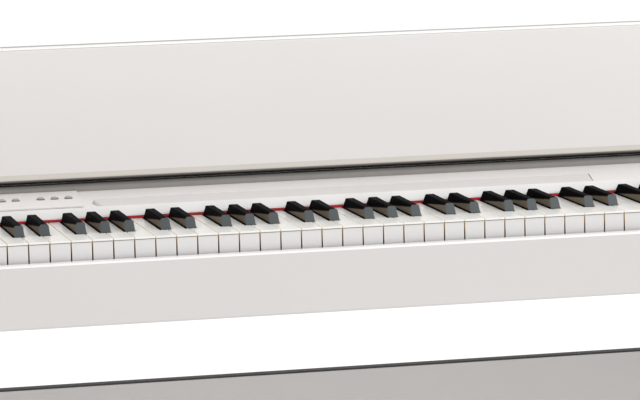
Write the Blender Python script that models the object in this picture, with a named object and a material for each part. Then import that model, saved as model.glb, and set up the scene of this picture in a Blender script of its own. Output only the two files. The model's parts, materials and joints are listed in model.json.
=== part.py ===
"""A slim 88-key home digital piano on its stand, with a folding lid and three pedals.

Metres, +Z up. The origin is on the floor, under the middle of the instrument.
+X runs along the keyboard towards the treble, +Y runs to the back.
"""

from math import cos, pi, radians, sin

import bmesh
import bpy
from mathutils import Matrix, Vector

for leftover in list(bpy.data.objects):
    bpy.data.objects.remove(leftover, do_unlink=True)

# Driving dimensions: the whole instrument
DEPTH = 0.358
KEY_TOP_HEIGHT = 0.738
FIT = 0.0003

# Keyboard
WHITE_KEYS = 52
KEY_PITCH = 0.02355
KEY_GAP = 0.0010
KEY_LENGTH = 0.150
KEY_FRONT_HEIGHT = 0.022
PIVOT_BEHIND_PANEL = 0.093
PIVOT_DROP = 0.016
SHARP_WIDTH = 0.0117
SHARP_TOP_WIDTH = 0.0100
SHARP_HEIGHT = 0.0122
SHARP_SETBACK = 0.0475
SHARP_FRONT_SLOPE = 0.0055
SHARP_BACK_SLOPE = 0.0115
SHARP_CLEARANCE = 0.0010
SHARP_FRONT_CLEARANCE = 0.0017
SHARP_BODY_DEPTH = 0.0215
SHARP_CAP_CLEARANCE = 0.0015
SHARP_PIVOT_BEHIND_PANEL = 0.0715
COMB_HALF = 0.0065
COMB_THICKNESS = 0.008
COMB_CLEARANCE = 0.002

# Cabinet
RAIL_THICKNESS = 0.015
RAIL_TO_KEYS = 0.003
RAIL_LIP_DROP = 0.0223
RAIL_HEIGHT = 0.0712
RAIL_ROUND = 0.0032
BOARD_THICKNESS = 0.015
ARM_THICKNESS = 0.020
ARM_ABOVE_LID = 0.0025
ARM_ROUND = 0.006
BLOCK_WIDTH = 0.0452
BLOCK_CLEARANCE = 0.0022
BLOCK_RISE = 0.0115
COVER_THICKNESS = 0.003
COVER_RISE = 0.0150
COVER_DEPTH = 0.019

# Top panel, its long groove and its control plate
PANEL_RISE = 0.0149
PANEL_THICKNESS = 0.008
PANEL_DEPTH = 0.1465
FASCIA_THICKNESS = 0.004
FASCIA_SLOPE = 0.0045
FASCIA_STRAIGHT = 0.0025
FELT_HEIGHT = 0.0028
FELT_THICKNESS = 0.0022
GROOVE_LEFT = -0.277
GROOVE_RIGHT = 0.337
GROOVE_SETBACK = 0.008
GROOVE_WIDTH = 0.067
GROOVE_DEPTH = 0.0025
GROOVE_SLANT = 0.016
GROOVE_END_FLATNESS = 0.32
GROOVE_END_SLANT = 0.011
PLATE_LEFT = -0.432
PLATE_RIGHT = -0.280
PLATE_SETBACK = 0.0055
PLATE_DEPTH = 0.137
PLATE_RISE = 0.0015
PLATE_CHAMFER = 0.008
BUTTON_RADIUS = 0.0045
BUTTON_PITCH = 0.0163
BUTTON_GROUP_PITCH = 0.0615
BUTTON_RIGHT = -0.293
BUTTON_SETBACK = 0.077
BUTTON_RISE = 0.0030
BUTTON_DOME = 0.0020
BUTTON_CLEARANCE = 0.0004
BUTTON_TRAVEL = 0.0010

# Lid
LEAF_THICKNESS = 0.014
LEAF_EDGE = 0.0015
LEAF_GAP = 0.0010
LEAF_DIFFERENCE = 0.0134
LID_LEAN = radians(4.0)
LID_REACH = 0.014
LID_BEHIND_PANEL = 0.0025
LID_SIDE_CLEARANCE = 0.0015
NOSE_CLEARANCE = 0.0015
HINGE_RADIUS = 0.0016
HINGE_PLATE = 0.0009
HINGE_PLATE_WIDTH = 0.012
HINGE_CLEARANCE = 0.0005
HINGE_RAIL_GAP = 0.0005
HINGE_RAIL_DEPTH = 0.014
HINGE_RAIL_RISE = 0.0240
PIN_RADIUS = 0.003
PIN_DEPTH = 0.010

# Works inside the cabinet
CHASSIS_CLEARANCE = 0.016
CHASSIS_THICKNESS = 0.006
CHASSIS_RIDGE = 0.006
CHASSIS_SETBACK = 0.010
CHASSIS_SHORT_OF_PANEL = 0.0115
CIRCUIT_THICKNESS = 0.0016
CIRCUIT_DROP = 0.0035
CIRCUIT_AHEAD_OF_BUTTONS = 0.022
CIRCUIT_BACK_GAP = 0.006
SPEAKER_X = 0.430
SPEAKER_SETBACK = 0.120
SPEAKER_RADIUS = 0.052
SPEAKER_HOLE = 0.045
SPEAKER_HEIGHT = 0.026
SPEAKER_RIM = 0.006
SPEAKER_RIM_THICKNESS = 0.003
SPEAKER_NECK = 0.022
SPEAKER_MAGNET = 0.026
JACK_BOX_X = -0.560
JACK_BOX_SETBACK = 0.010
JACK_BOX_WIDTH = 0.070
JACK_BOX_DEPTH = 0.050
JACK_BOX_HEIGHT = 0.026
JACK_RADIUS = 0.0034
JACK_HOLE_DEPTH = 0.030
JACK_PITCH = 0.030
INLET_X = -0.400
INLET_SIZE = 0.016
INLET_LENGTH = 0.020
INLET_WINDOW = 0.010
INLET_RADIUS = 0.0033
INLET_HOLE_DEPTH = 0.012

# Stand
FOOT_WIDTH = 0.044
FOOT_HEIGHT = 0.040
FOOT_ROUND = 0.012
SIDE_THICKNESS = 0.022
SIDE_INSET = 0.012
SIDE_SETBACK = 0.045
SIDE_DEPTH = 0.265
BACK_BOARD_SETBACK = 0.285
BACK_BOARD_THICKNESS = 0.015
BACK_BOARD_BELOW_CABINET = 0.1205
BACK_BOARD_HEIGHT = 0.290
PEDAL_RAIL_SETBACK = 0.235
PEDAL_RAIL_THICKNESS = 0.022
PEDAL_RAIL_BOTTOM = 0.050
PEDAL_RAIL_HEIGHT = 0.100

# Pedals
PEDAL_BOX_WIDTH = 0.240
PEDAL_BOX_DEPTH = 0.110
PEDAL_BOX_BOTTOM = 0.030
PEDAL_BOX_HEIGHT = 0.070
PEDAL_BOX_WALL = 0.004
PEDAL_PITCH = 0.070
PEDAL_WIDTH = 0.022
PEDAL_TIP_WIDTH = 0.032
PEDAL_LENGTH = 0.195
PEDAL_THICKNESS = 0.006
PEDAL_HEIGHT = 0.066
PEDAL_TRAVEL = 0.020
PEDAL_CLEARANCE = 0.003
SHAFT_RADIUS = 0.004
SHAFT_FROM_BACK = 0.014
BOSS_WALL = 0.003
ADJUSTER_RADIUS = 0.018
ADJUSTER_HEIGHT = 0.012
ADJUSTER_STEM = 0.005
ADJUSTER_EDGE = 0.002
ADJUSTER_REACH = 0.018
ADJUSTER_TRAVEL = 0.010

# Across the instrument
KEYBOARD_HALF = WHITE_KEYS * KEY_PITCH / 2
INSIDE_HALF = KEYBOARD_HALF + BLOCK_CLEARANCE + BLOCK_WIDTH
ARM_INNER = INSIDE_HALF + FIT
HALF = ARM_INNER + ARM_THICKNESS
LID_HALF = ARM_INNER - LID_SIDE_CLEARANCE
STAND_OUTER = HALF - SIDE_INSET
STAND_INNER = STAND_OUTER - SIDE_THICKNESS
STAND_BETWEEN = STAND_INNER - FIT
FOOT_OVERHANG = (FOOT_WIDTH - SIDE_THICKNESS) / 2

# From front to back
FRONT_Y = -DEPTH / 2
RAIL_BACK_Y = FRONT_Y + RAIL_THICKNESS
KEY_Y = RAIL_BACK_Y + RAIL_TO_KEYS
PANEL_Y = KEY_Y + KEY_LENGTH
PIVOT_Y = PANEL_Y + PIVOT_BEHIND_PANEL
SHARP_PIVOT_Y = PANEL_Y + SHARP_PIVOT_BEHIND_PANEL
BUTTON_Y = PANEL_Y + BUTTON_SETBACK
PANEL_BACK_Y = PANEL_Y + PANEL_DEPTH
HINGE_RAIL_Y = PANEL_BACK_Y + HINGE_RAIL_GAP
HINGE_RAIL_BACK_Y = HINGE_RAIL_Y + HINGE_RAIL_DEPTH
BACK_Y = HINGE_RAIL_BACK_Y + COVER_DEPTH

# Heights
CABINET_BOTTOM = KEY_TOP_HEIGHT - RAIL_LIP_DROP - RAIL_HEIGHT
BOARD_TOP = CABINET_BOTTOM + BOARD_THICKNESS
KEY_BOTTOM = KEY_TOP_HEIGHT - KEY_FRONT_HEIGHT
PIVOT_HEIGHT = KEY_TOP_HEIGHT - PIVOT_DROP
COMB_TOP = KEY_BOTTOM - COMB_CLEARANCE
SHARP_PIVOT_HEIGHT = COMB_TOP - COMB_THICKNESS / 2
CHASSIS_TOP = KEY_BOTTOM - CHASSIS_CLEARANCE
PANEL_TOP = KEY_TOP_HEIGHT + PANEL_RISE
PANEL_BOTTOM = PANEL_TOP - PANEL_THICKNESS
CIRCUIT_TOP = PANEL_BOTTOM - CIRCUIT_DROP
HINGE_RAIL_TOP = KEY_TOP_HEIGHT + HINGE_RAIL_RISE
STAND_TOP = CABINET_BOTTOM - FIT
BACK_BOARD_TOP = CABINET_BOTTOM - BACK_BOARD_BELOW_CABINET

# Lid: its hinge line, and two leaves that together reach past the key fronts
LID_AXIS = Vector((
    0,
    PANEL_BACK_Y + LID_BEHIND_PANEL + LEAF_THICKNESS / 2,
    HINGE_RAIL_TOP + NOSE_CLEARANCE + LEAF_THICKNESS / 2,
))
LID_COVER = LID_AXIS.y - KEY_Y + LID_REACH
REAR_LEAF = (LID_COVER - LEAF_DIFFERENCE) / 2
FRONT_LEAF = LID_COVER - REAR_LEAF
ARM_TOP = LID_AXIS.z + LEAF_THICKNESS / 2 + ARM_ABOVE_LID

# How far each sharp sits right of the edge between its two white keys, by the
# letter of the white key on its left.
SHARP_OFFSET = {"C": -0.0026, "D": 0.0026, "F": -0.0038, "G": 0.0, "A": 0.0038}
LETTERS = "CDEFGAB"


def material(name, colour, roughness, metallic=0.0):
    """A Principled material from a colour, a roughness and a metallic value."""
    made = bpy.data.materials.new(name)
    made.use_nodes = True
    shader = made.node_tree.nodes["Principled BSDF"]
    shader.inputs["Base Color"].default_value = (*colour, 1.0)
    shader.inputs["Roughness"].default_value = roughness
    shader.inputs["Metallic"].default_value = metallic
    return made


WHITE_LACQUER = material("white_lacquer", (0.76, 0.74, 0.72), 0.42)
WHITE_PLASTIC = material("white_plastic", (0.78, 0.76, 0.74), 0.38)
KEY_WHITE = material("key_white", (0.83, 0.80, 0.75), 0.28)
KEY_BLACK = material("key_black", (0.012, 0.012, 0.013), 0.35)
RED_FELT = material("red_felt", (0.42, 0.012, 0.02), 0.95)
RAIL_GREY = material("rail_grey", (0.26, 0.245, 0.23), 0.55)
BUTTON_TAUPE = material("button_taupe", (0.40, 0.32, 0.27), 0.45)
BOARD_GREY = material("board_grey", (0.62, 0.60, 0.58), 0.5)
STEEL = material("steel", (0.55, 0.55, 0.56), 0.35, 1.0)
BRASS = material("brass", (0.72, 0.52, 0.24), 0.3, 1.0)
CHASSIS_BLACK = material("chassis_black", (0.03, 0.03, 0.035), 0.6)
CIRCUIT_GREEN = material("circuit_green", (0.03, 0.16, 0.07), 0.5)
RUBBER = material("rubber", (0.03, 0.03, 0.03), 0.9)


def finish(name, mesh, finish_material, at=(0, 0, 0), turn_x=0.0, smooth=None):
    """Puts a bmesh into a named object whose origin is at a place, turned about X."""
    bmesh.ops.recalc_face_normals(mesh, faces=mesh.faces)
    data = bpy.data.meshes.new(name)
    mesh.to_mesh(data)
    mesh.free()
    data.materials.append(finish_material)
    if smooth is not None:
        data.shade_smooth()
        data.set_sharp_from_angle(angle=smooth)
    made = bpy.data.objects.new(name, data)
    made.location = at
    made.rotation_euler = (turn_x, 0, 0)
    bpy.context.scene.collection.objects.link(made)
    return made


def prism(outline, axis, low, high):
    """A closed solid: a flat outline pushed along X (points are y, z) or Z (points are x, y)."""
    mesh = bmesh.new()

    def place(point, along):
        if axis == "X":
            return (along, point[0], point[1])
        return (point[0], point[1], along)

    near = [mesh.verts.new(place(point, low)) for point in outline]
    far = [mesh.verts.new(place(point, high)) for point in outline]
    mesh.faces.new(near)
    mesh.faces.new(far)
    for i in range(len(outline)):
        j = (i + 1) % len(outline)
        mesh.faces.new((near[i], near[j], far[j], far[i]))
    return mesh


def block(x, y, z):
    """A box between three pairs of limits."""
    corners = [(x[0], y[0]), (x[1], y[0]), (x[1], y[1]), (x[0], y[1])]
    return prism(corners, "Z", z[0], z[1])


def arc(centre, radius, start, end, steps):
    """Points along a circle, from one angle in degrees to another, both ends kept."""
    angles = [radians(start + (end - start) * i / steps) for i in range(steps + 1)]
    return [(centre[0] + radius * cos(a), centre[1] + radius * sin(a)) for a in angles]


def add_cylinder(mesh, centre, radius, length, axis="Z", segments=24):
    """Adds a capped cylinder to a bmesh, centred on a point."""
    turns = {"X": Matrix.Rotation(pi / 2, 4, "Y"), "Y": Matrix.Rotation(pi / 2, 4, "X"), "Z": Matrix()}
    bmesh.ops.create_cone(
        mesh, cap_ends=True, segments=segments, radius1=radius, radius2=radius, depth=length,
        matrix=Matrix.Translation(centre) @ turns[axis],
    )


def cylinder(centre, radius, length, axis="Z", segments=24):
    mesh = bmesh.new()
    add_cylinder(mesh, centre, radius, length, axis, segments)
    return mesh


def turned(profile, segments):
    """A closed solid of revolution about Z. The profile runs (radius, z) from axis to axis."""
    mesh = bmesh.new()
    angles = [2 * pi * i / segments for i in range(segments)]
    rings = []
    for radius, height in profile:
        if radius == 0:
            rings.append([mesh.verts.new((0, 0, height))])
        else:
            rings.append([mesh.verts.new((radius * cos(a), radius * sin(a), height)) for a in angles])
    for lower, upper in zip(rings, rings[1:]):
        for i in range(segments):
            j = (i + 1) % segments
            below = [lower[i % len(lower)], lower[j % len(lower)]]
            corners = below + [upper[j % len(upper)], upper[i % len(upper)]]
            mesh.faces.new(list(dict.fromkeys(corners)))
    return mesh


def cut(target, cutter_mesh, name):
    """Cuts a bmesh out of an object with a Boolean, and hides the cutter."""
    cutter = finish(name, cutter_mesh, CHASSIS_BLACK)
    cutter.hide_render = True
    cutter.display_type = "WIRE"
    modifier = target.modifiers.new(name, "BOOLEAN")
    modifier.operation = "DIFFERENCE"
    modifier.object = cutter


def both_sides(name, x, build):
    """Builds a piece on the right from its x limits, and its mirror image on the left."""
    build(f"{name}_left", (-x[1], -x[0]))
    build(f"{name}_right", x)


# Cabinet: bottom board, front rail, arms, key blocks and back cover


def make_bottom_board():
    board = finish(
        "bottom_board",
        block(
            (-INSIDE_HALF, INSIDE_HALF),
            (RAIL_BACK_Y + FIT, BACK_Y - COVER_THICKNESS - FIT),
            (CABINET_BOTTOM, BOARD_TOP),
        ),
        WHITE_LACQUER,
    )
    holes = bmesh.new()
    for x in (-SPEAKER_X, SPEAKER_X):
        centre = (x, KEY_Y + SPEAKER_SETBACK, CABINET_BOTTOM + BOARD_THICKNESS / 2)
        add_cylinder(holes, centre, SPEAKER_HOLE, BOARD_THICKNESS * 2)
    cut(board, holes, "speaker_holes")


def make_front_rail():
    """The apron in front of the keys: its upper edge is a rounded lip below the key fronts."""
    front = FRONT_Y
    back = RAIL_BACK_Y
    top = KEY_TOP_HEIGHT - RAIL_LIP_DROP
    outline = [(back, top), (back, CABINET_BOTTOM)]
    outline += arc((front + RAIL_ROUND, CABINET_BOTTOM + RAIL_ROUND), RAIL_ROUND, 270, 180, 4)
    outline += arc((front + RAIL_ROUND, top - RAIL_ROUND), RAIL_ROUND, 180, 90, 5)
    finish("front_rail", prism(outline, "X", -INSIDE_HALF, INSIDE_HALF), WHITE_LACQUER, smooth=radians(35))


def make_arm(name, x):
    """An end wall of the cabinet, as high as the closed lid, with rounded upper corners."""
    front, back = FRONT_Y, BACK_Y
    top = ARM_TOP
    outline = [(back, CABINET_BOTTOM), (front, CABINET_BOTTOM)]
    outline += arc((front + ARM_ROUND, top - ARM_ROUND), ARM_ROUND, 180, 90, 5)
    outline += arc((back - ARM_ROUND, top - ARM_ROUND), ARM_ROUND, 90, 0, 5)
    arm = finish(name, prism(outline, "X", x[0], x[1]), WHITE_LACQUER, smooth=radians(35))
    socket_x = LID_HALF * (1 if x[0] > 0 else -1)
    length = 2 * (PIN_DEPTH + LID_SIDE_CLEARANCE)
    socket = cylinder((socket_x, LID_AXIS.y, LID_AXIS.z), PIN_RADIUS + FIT, length, "X")
    cut(arm, socket, f"{name}_pin_socket")


def make_key_block(name, x):
    """The block beside the keyboard, on which the closed lid rests."""
    y = (RAIL_BACK_Y + FIT, PANEL_Y - FIT)
    z = (BOARD_TOP + FIT, KEY_TOP_HEIGHT + BLOCK_RISE)
    finish(name, block(x, y, z), WHITE_LACQUER)


def make_rear_cover():
    """The back of the cabinet, with a flange forward over the works and a hole for the inlet."""
    top = KEY_TOP_HEIGHT + COVER_RISE
    flange_front = HINGE_RAIL_BACK_Y + FIT
    outline = [
        (BACK_Y, CABINET_BOTTOM),
        (BACK_Y, top),
        (flange_front, top),
        (flange_front, top - COVER_THICKNESS),
        (BACK_Y - COVER_THICKNESS, top - COVER_THICKNESS),
        (BACK_Y - COVER_THICKNESS, CABINET_BOTTOM),
    ]
    cover = finish("rear_cover", prism(outline, "X", -INSIDE_HALF, INSIDE_HALF), WHITE_PLASTIC)
    hole = INLET_WINDOW / 2
    cut(
        cover,
        block(
            (INLET_X - hole, INLET_X + hole),
            (BACK_Y - 2 * COVER_THICKNESS, BACK_Y + COVER_THICKNESS),
            (inlet_height() - hole, inlet_height() + hole),
        ),
        "inlet_window",
    )


def inlet_height():
    return BOARD_TOP + FIT + INLET_SIZE / 2


# Top panel, control plate, buttons, felt and the grey rail under the lid


def groove_outline():
    """The groove from above: a round left end, a slanted right end."""
    front = PANEL_Y + GROOVE_SETBACK
    back = front + GROOVE_WIDTH
    radius = GROOVE_WIDTH / 2
    reach = radius * GROOVE_END_FLATNESS
    half_circle = arc((0, 0), 1, 90, 270, 12)
    points = []
    for x, y in half_circle:
        along = GROOVE_LEFT + reach + x * reach + GROOVE_END_SLANT * (y + 1) / 2
        points.append((along, front + radius + y * radius))
    points += [(GROOVE_RIGHT - GROOVE_SLANT, front), (GROOVE_RIGHT, back)]
    return points


def button_places():
    """The six buttons' x, in two groups of three, from the right."""
    first = [BUTTON_RIGHT - BUTTON_PITCH * i for i in range(3)]
    return first + [x - BUTTON_GROUP_PITCH for x in first]


def make_top_panel():
    """The panel behind the keys: a flat top, and a sloping fascia down to the felt."""
    front = PANEL_Y
    felt_top = KEY_TOP_HEIGHT + FIT + FELT_HEIGHT + FIT
    outline = [
        (PANEL_BACK_Y, PANEL_TOP),
        (front + FASCIA_SLOPE, PANEL_TOP),
        (front, felt_top + FASCIA_STRAIGHT),
        (front, felt_top),
        (front + FASCIA_THICKNESS, felt_top),
        (front + FASCIA_THICKNESS, PANEL_BOTTOM),
        (PANEL_BACK_Y, PANEL_BOTTOM),
    ]
    panel = finish("top_panel", prism(outline, "X", -INSIDE_HALF, INSIDE_HALF), WHITE_PLASTIC)
    groove = prism(groove_outline(), "Z", PANEL_TOP - GROOVE_DEPTH, PANEL_TOP + GROOVE_DEPTH)
    cut(panel, groove, "groove_cut")
    bores = bmesh.new()
    for x in button_places():
        centre = (x, BUTTON_Y, PANEL_TOP)
        add_cylinder(bores, centre, BUTTON_RADIUS + BUTTON_CLEARANCE, 4 * PANEL_THICKNESS)
    cut(panel, bores, "panel_button_bores")


def make_control_plate():
    front = PANEL_Y + PLATE_SETBACK
    back = front + PLATE_DEPTH
    low, high = PANEL_TOP + FIT, PANEL_TOP + FIT + PLATE_RISE
    outline = [
        (PLATE_LEFT, front),
        (PLATE_RIGHT - PLATE_CHAMFER, front),
        (PLATE_RIGHT + PLATE_CHAMFER, back),
        (PLATE_LEFT, back),
    ]
    plate = finish("control_plate", prism(outline, "Z", low, high), WHITE_PLASTIC)
    bores = bmesh.new()
    for x in button_places():
        add_cylinder(bores, (x, BUTTON_Y, low), BUTTON_RADIUS + BUTTON_CLEARANCE, 4 * PLATE_RISE)
    cut(plate, bores, "plate_button_bores")


def make_buttons():
    """Domed round push buttons, standing just proud of the control plate."""
    top = FIT + PLATE_RISE + BUTTON_RISE
    bottom = CIRCUIT_TOP + BUTTON_TRAVEL + FIT - PANEL_TOP
    angles = [radians(a) for a in (0, 30, 60)]
    dome = [(BUTTON_RADIUS * cos(a), top - BUTTON_DOME * (1 - sin(a))) for a in angles]
    profile = [(0, bottom), (BUTTON_RADIUS, bottom)] + dome + [(0, top)]
    for i, x in enumerate(sorted(button_places())):
        at = (x, BUTTON_Y, PANEL_TOP)
        finish(f"button_{i + 1}", turned(profile, 20), BUTTON_TAUPE, at, smooth=radians(40))


def make_felt_strip():
    """The red felt between the key tops and the fascia."""
    low = KEY_TOP_HEIGHT + FIT
    x = KEYBOARD_HALF + BLOCK_CLEARANCE - FIT
    strip = block((-x, x), (PANEL_Y, PANEL_Y + FELT_THICKNESS), (low, low + FELT_HEIGHT))
    finish("felt_strip", strip, RED_FELT)


def make_hinge_rail():
    """The grey rail behind the panel, under the lid's rounded edge."""
    y = (HINGE_RAIL_Y, HINGE_RAIL_BACK_Y)
    z = (PANEL_BOTTOM, HINGE_RAIL_TOP)
    finish("lid_hinge_rail", block((-INSIDE_HALF, INSIDE_HALF), y, z), RAIL_GREY)


# Lid: a rear leaf that stands up on end pins, and a front leaf folded flat behind it


def lid_point(across, up):
    """A place in the rear leaf's section, turned with the leaf's lean."""
    return LID_AXIS + Matrix.Rotation(-LID_LEAN, 3, "X") @ Vector((0, across, up))


def make_lid():
    half = LEAF_THICKNESS / 2
    edge_gap = HINGE_RADIUS + HINGE_CLEARANCE
    plate_seat = edge_gap + HINGE_PLATE + FIT
    top = REAR_LEAF - plate_seat
    small = LEAF_EDGE
    nose = arc((0, 0), half, 180, 360, 10)
    crown = arc((half - small, top - small), small, 0, 90, 2)
    crown += arc((small - half, top - small), small, 90, 180, 2)
    section = prism(nose + crown, "X", -LID_HALF, LID_HALF)
    rear = finish("lid_rear_leaf", section, WHITE_LACQUER, LID_AXIS, -LID_LEAN, radians(35))
    bores = bmesh.new()
    for side in (-1, 1):
        add_cylinder(bores, (side * LID_HALF, LID_AXIS.y, LID_AXIS.z), PIN_RADIUS + FIT, 2 * PIN_DEPTH, "X")
    cut(rear, bores, "leaf_pin_bores")

    across = half + LEAF_GAP / 2
    barrel_at = lid_point(across, REAR_LEAF)
    barrel = arc((0, 0), HINGE_RADIUS, -120, 210, 11)
    seat = -edge_gap
    strip = [(-HINGE_PLATE_WIDTH, seat), (-HINGE_PLATE_WIDTH, seat - HINGE_PLATE)]
    strip += [(-LEAF_GAP / 2 - FIT, seat - HINGE_PLATE)]
    section = prism(barrel + strip, "X", -LID_HALF, LID_HALF)
    finish("lid_hinge", section, STEEL, barrel_at, -LID_LEAN, radians(50))

    near, far = LEAF_GAP / 2, LEAF_GAP / 2 + LEAF_THICKNESS
    free_edge = arc(((near + far) / 2, half - FRONT_LEAF), half, 180, 360, 10)
    crown = arc((far - small, -edge_gap - small), small, 0, 90, 2)
    crown += arc((near + small, -edge_gap - small), small, 90, 180, 2)
    section = prism(free_edge + crown, "X", -LID_HALF, LID_HALF)
    finish("lid_front_leaf", section, WHITE_LACQUER, barrel_at, -LID_LEAN, radians(35))


def make_pin(name, x):
    """A steel pin from the rear leaf's end into the arm."""
    side = 1 if x[0] > 0 else -1
    length = 2 * PIN_DEPTH + LID_SIDE_CLEARANCE - 2 * FIT
    centre = side * (LID_HALF + LID_SIDE_CLEARANCE / 2)
    at = (centre, LID_AXIS.y, LID_AXIS.z)
    finish(name, cylinder((0, 0, 0), PIN_RADIUS, length, "X", 16), STEEL, at, smooth=radians(35))


# Keyboard


def key_letter(index):
    """The letter of a white key, counted from A0 as 0."""
    return LETTERS[(index + 5) % 7]


def key_name(index):
    return f"{key_letter(index)}{(index + 5) // 7}"


def edge_x(index):
    """The x of the left edge of a white key, counted from A0 as 0."""
    return -KEYBOARD_HALF + KEY_PITCH * index


def sharp_x(index):
    """The middle of the sharp right of a white key, or None."""
    letter = key_letter(index)
    if letter not in SHARP_OFFSET or index == WHITE_KEYS - 1:
        return None
    return edge_x(index + 1) + SHARP_OFFSET[letter]


def natural_outline(first, last, origin):
    """White keys from first to last, seen from above, joined by a strip at the back."""
    notch = SHARP_SETBACK - SHARP_FRONT_CLEARANCE
    strip_front = PIVOT_Y - COMB_HALF - KEY_Y
    strip_back = PIVOT_Y + COMB_HALF - KEY_Y
    half = SHARP_WIDTH / 2 + SHARP_CLEARANCE
    points = []
    for index in range(first, last + 1):
        left = edge_x(index) + KEY_GAP / 2
        right = edge_x(index + 1) - KEY_GAP / 2
        before = sharp_x(index - 1) if index > 0 else None
        after = sharp_x(index)
        tail_left = left if before is None else before + half
        tail_right = right if after is None else after - half
        points.append((tail_left, strip_front))
        if before is not None:
            points += [(tail_left, notch), (left, notch)]
        points += [(left, 0), (right, 0)]
        if after is not None:
            points += [(right, notch), (tail_right, notch)]
        points.append((tail_right, strip_front))
    points += [(points[-1][0], strip_back), (points[0][0], strip_back)]
    return [(x - origin.x, KEY_Y + y - origin.y) for x, y in points]


def make_naturals(name, first, last):
    """One white key, or a row of them that moves as one. Its origin is on its hinge line."""
    middle = (edge_x(first) + edge_x(last + 1)) / 2
    origin = Vector((middle, PIVOT_Y, PIVOT_HEIGHT))
    top = KEY_TOP_HEIGHT - origin.z
    mesh = prism(natural_outline(first, last, origin), "Z", top - KEY_FRONT_HEIGHT, top)
    finish(name, mesh, KEY_WHITE, origin)


def sharp_row(places):
    """A bmesh of black keys at some x places, joined behind by one strip under the white keys."""
    mesh = bmesh.new()
    strip_low, strip_high = COMB_TOP - COMB_THICKNESS, COMB_TOP
    front, back = SHARP_PIVOT_Y - COMB_HALF, SHARP_PIVOT_Y + COMB_HALF
    cap_front = KEY_Y + SHARP_SETBACK
    cap_back = PANEL_Y - SHARP_CAP_CLEARANCE
    stick_top = KEY_TOP_HEIGHT - SHARP_CAP_CLEARANCE
    under = KEY_TOP_HEIGHT - SHARP_BODY_DEPTH
    shoulder = KEY_TOP_HEIGHT + FIT
    crest = KEY_TOP_HEIGHT + SHARP_HEIGHT
    inset = (SHARP_WIDTH - SHARP_TOP_WIDTH) / 2
    # The side outline, from the strip's lower back corner round to its lower front one.
    body = [
        (back, strip_low), (back, strip_high), (back, stick_top), (cap_back, stick_top), (cap_back, shoulder),
        (cap_front, shoulder), (cap_front, under), (front, under), (front, strip_high), (front, strip_low),
    ]
    cap = [(cap_back - SHARP_BACK_SLOPE, crest), (cap_front + SHARP_FRONT_SLOPE, crest)]
    strip = (0, 1, 8, 9)
    cap_seam = 4
    previous = None
    for number, place in enumerate(places):
        sides = []
        for side in (-1, 1):
            x = place + side * SHARP_WIDTH / 2
            ring = [mesh.verts.new((x, y, z)) for y, z in body]
            crown = [mesh.verts.new((x - side * inset, y, z)) for y, z in cap]
            mesh.faces.new(ring[1:9])
            mesh.faces.new((ring[cap_seam], crown[0], crown[1], ring[cap_seam + 1]))
            at_end = number == (0 if side < 0 else len(places) - 1)
            if at_end:
                mesh.faces.new([ring[i] for i in strip])
            sides.append(ring + crown)
        left, right = sides
        loop = list(range(cap_seam + 1)) + [len(body), len(body) + 1] + list(range(cap_seam + 1, len(body)))
        for i, j in zip(loop, loop[1:] + loop[:1]):
            mesh.faces.new((left[i], left[j], right[j], right[i]))
        if previous is not None:
            for i, j in zip(strip, strip[1:] + strip[:1]):
                mesh.faces.new((previous[i], previous[j], left[j], left[i]))
        previous = right
    return mesh


def make_sharps(name, places):
    """One black key, or a row of them that moves as one. Its origin is on its hinge line."""
    mesh = sharp_row(places)
    middle = (places[0] + places[-1]) / 2
    origin = Vector((middle, SHARP_PIVOT_Y, SHARP_PIVOT_HEIGHT))
    bmesh.ops.translate(mesh, verts=mesh.verts, vec=-origin)
    finish(name, mesh, KEY_BLACK, origin)


def make_keyboard():
    """Four joined rows, and between them one octave of twelve single keys."""
    middle_c = 2 + 7 * 3
    rows = ((0, 15), (16, middle_c - 1), (middle_c + 7, middle_c + 13), (middle_c + 14, WHITE_KEYS - 1))
    for first, last in rows:
        span = f"{key_name(first)}_{key_name(last)}"
        make_naturals(f"naturals_{span}", first, last)
        places = [sharp_x(i) for i in range(first, last + 1)]
        make_sharps(f"sharps_{span}", [x for x in places if x is not None])
    for index in range(middle_c, middle_c + 7):
        make_naturals(f"key_{key_name(index)}", index, index)
        if sharp_x(index) is not None:
            make_sharps(f"key_{key_letter(index)}sharp4", [sharp_x(index)])


# Works inside


def make_chassis():
    """The tray under the keys, with two ridges that carry their hinges."""
    top, bottom = CHASSIS_TOP, CHASSIS_TOP - CHASSIS_THICKNESS
    front = KEY_Y + CHASSIS_SETBACK
    back = PANEL_BACK_Y - CHASSIS_SHORT_OF_PANEL
    foot, crest = CHASSIS_RIDGE / 2, CHASSIS_RIDGE / 4
    outline = [(front, bottom), (back, bottom), (back, top)]
    sharp_comb_bottom = COMB_TOP - COMB_THICKNESS
    for y, height in ((PIVOT_Y, KEY_BOTTOM - 2 * FIT), (SHARP_PIVOT_Y, sharp_comb_bottom - 2 * FIT)):
        outline += [(y + foot, top), (y + crest, height), (y - crest, height), (y - foot, top)]
    outline += [(front, top)]
    x = KEYBOARD_HALF + BLOCK_CLEARANCE - FIT
    finish("key_chassis", prism(outline, "X", -x, x), CHASSIS_BLACK)


def make_circuit_board():
    y = (BUTTON_Y - CIRCUIT_AHEAD_OF_BUTTONS, PANEL_BACK_Y - CIRCUIT_BACK_GAP)
    z = (CIRCUIT_TOP - CIRCUIT_THICKNESS, CIRCUIT_TOP)
    finish("circuit_board", block((PLATE_LEFT, PLATE_RIGHT), y, z), CIRCUIT_GREEN)


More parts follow.
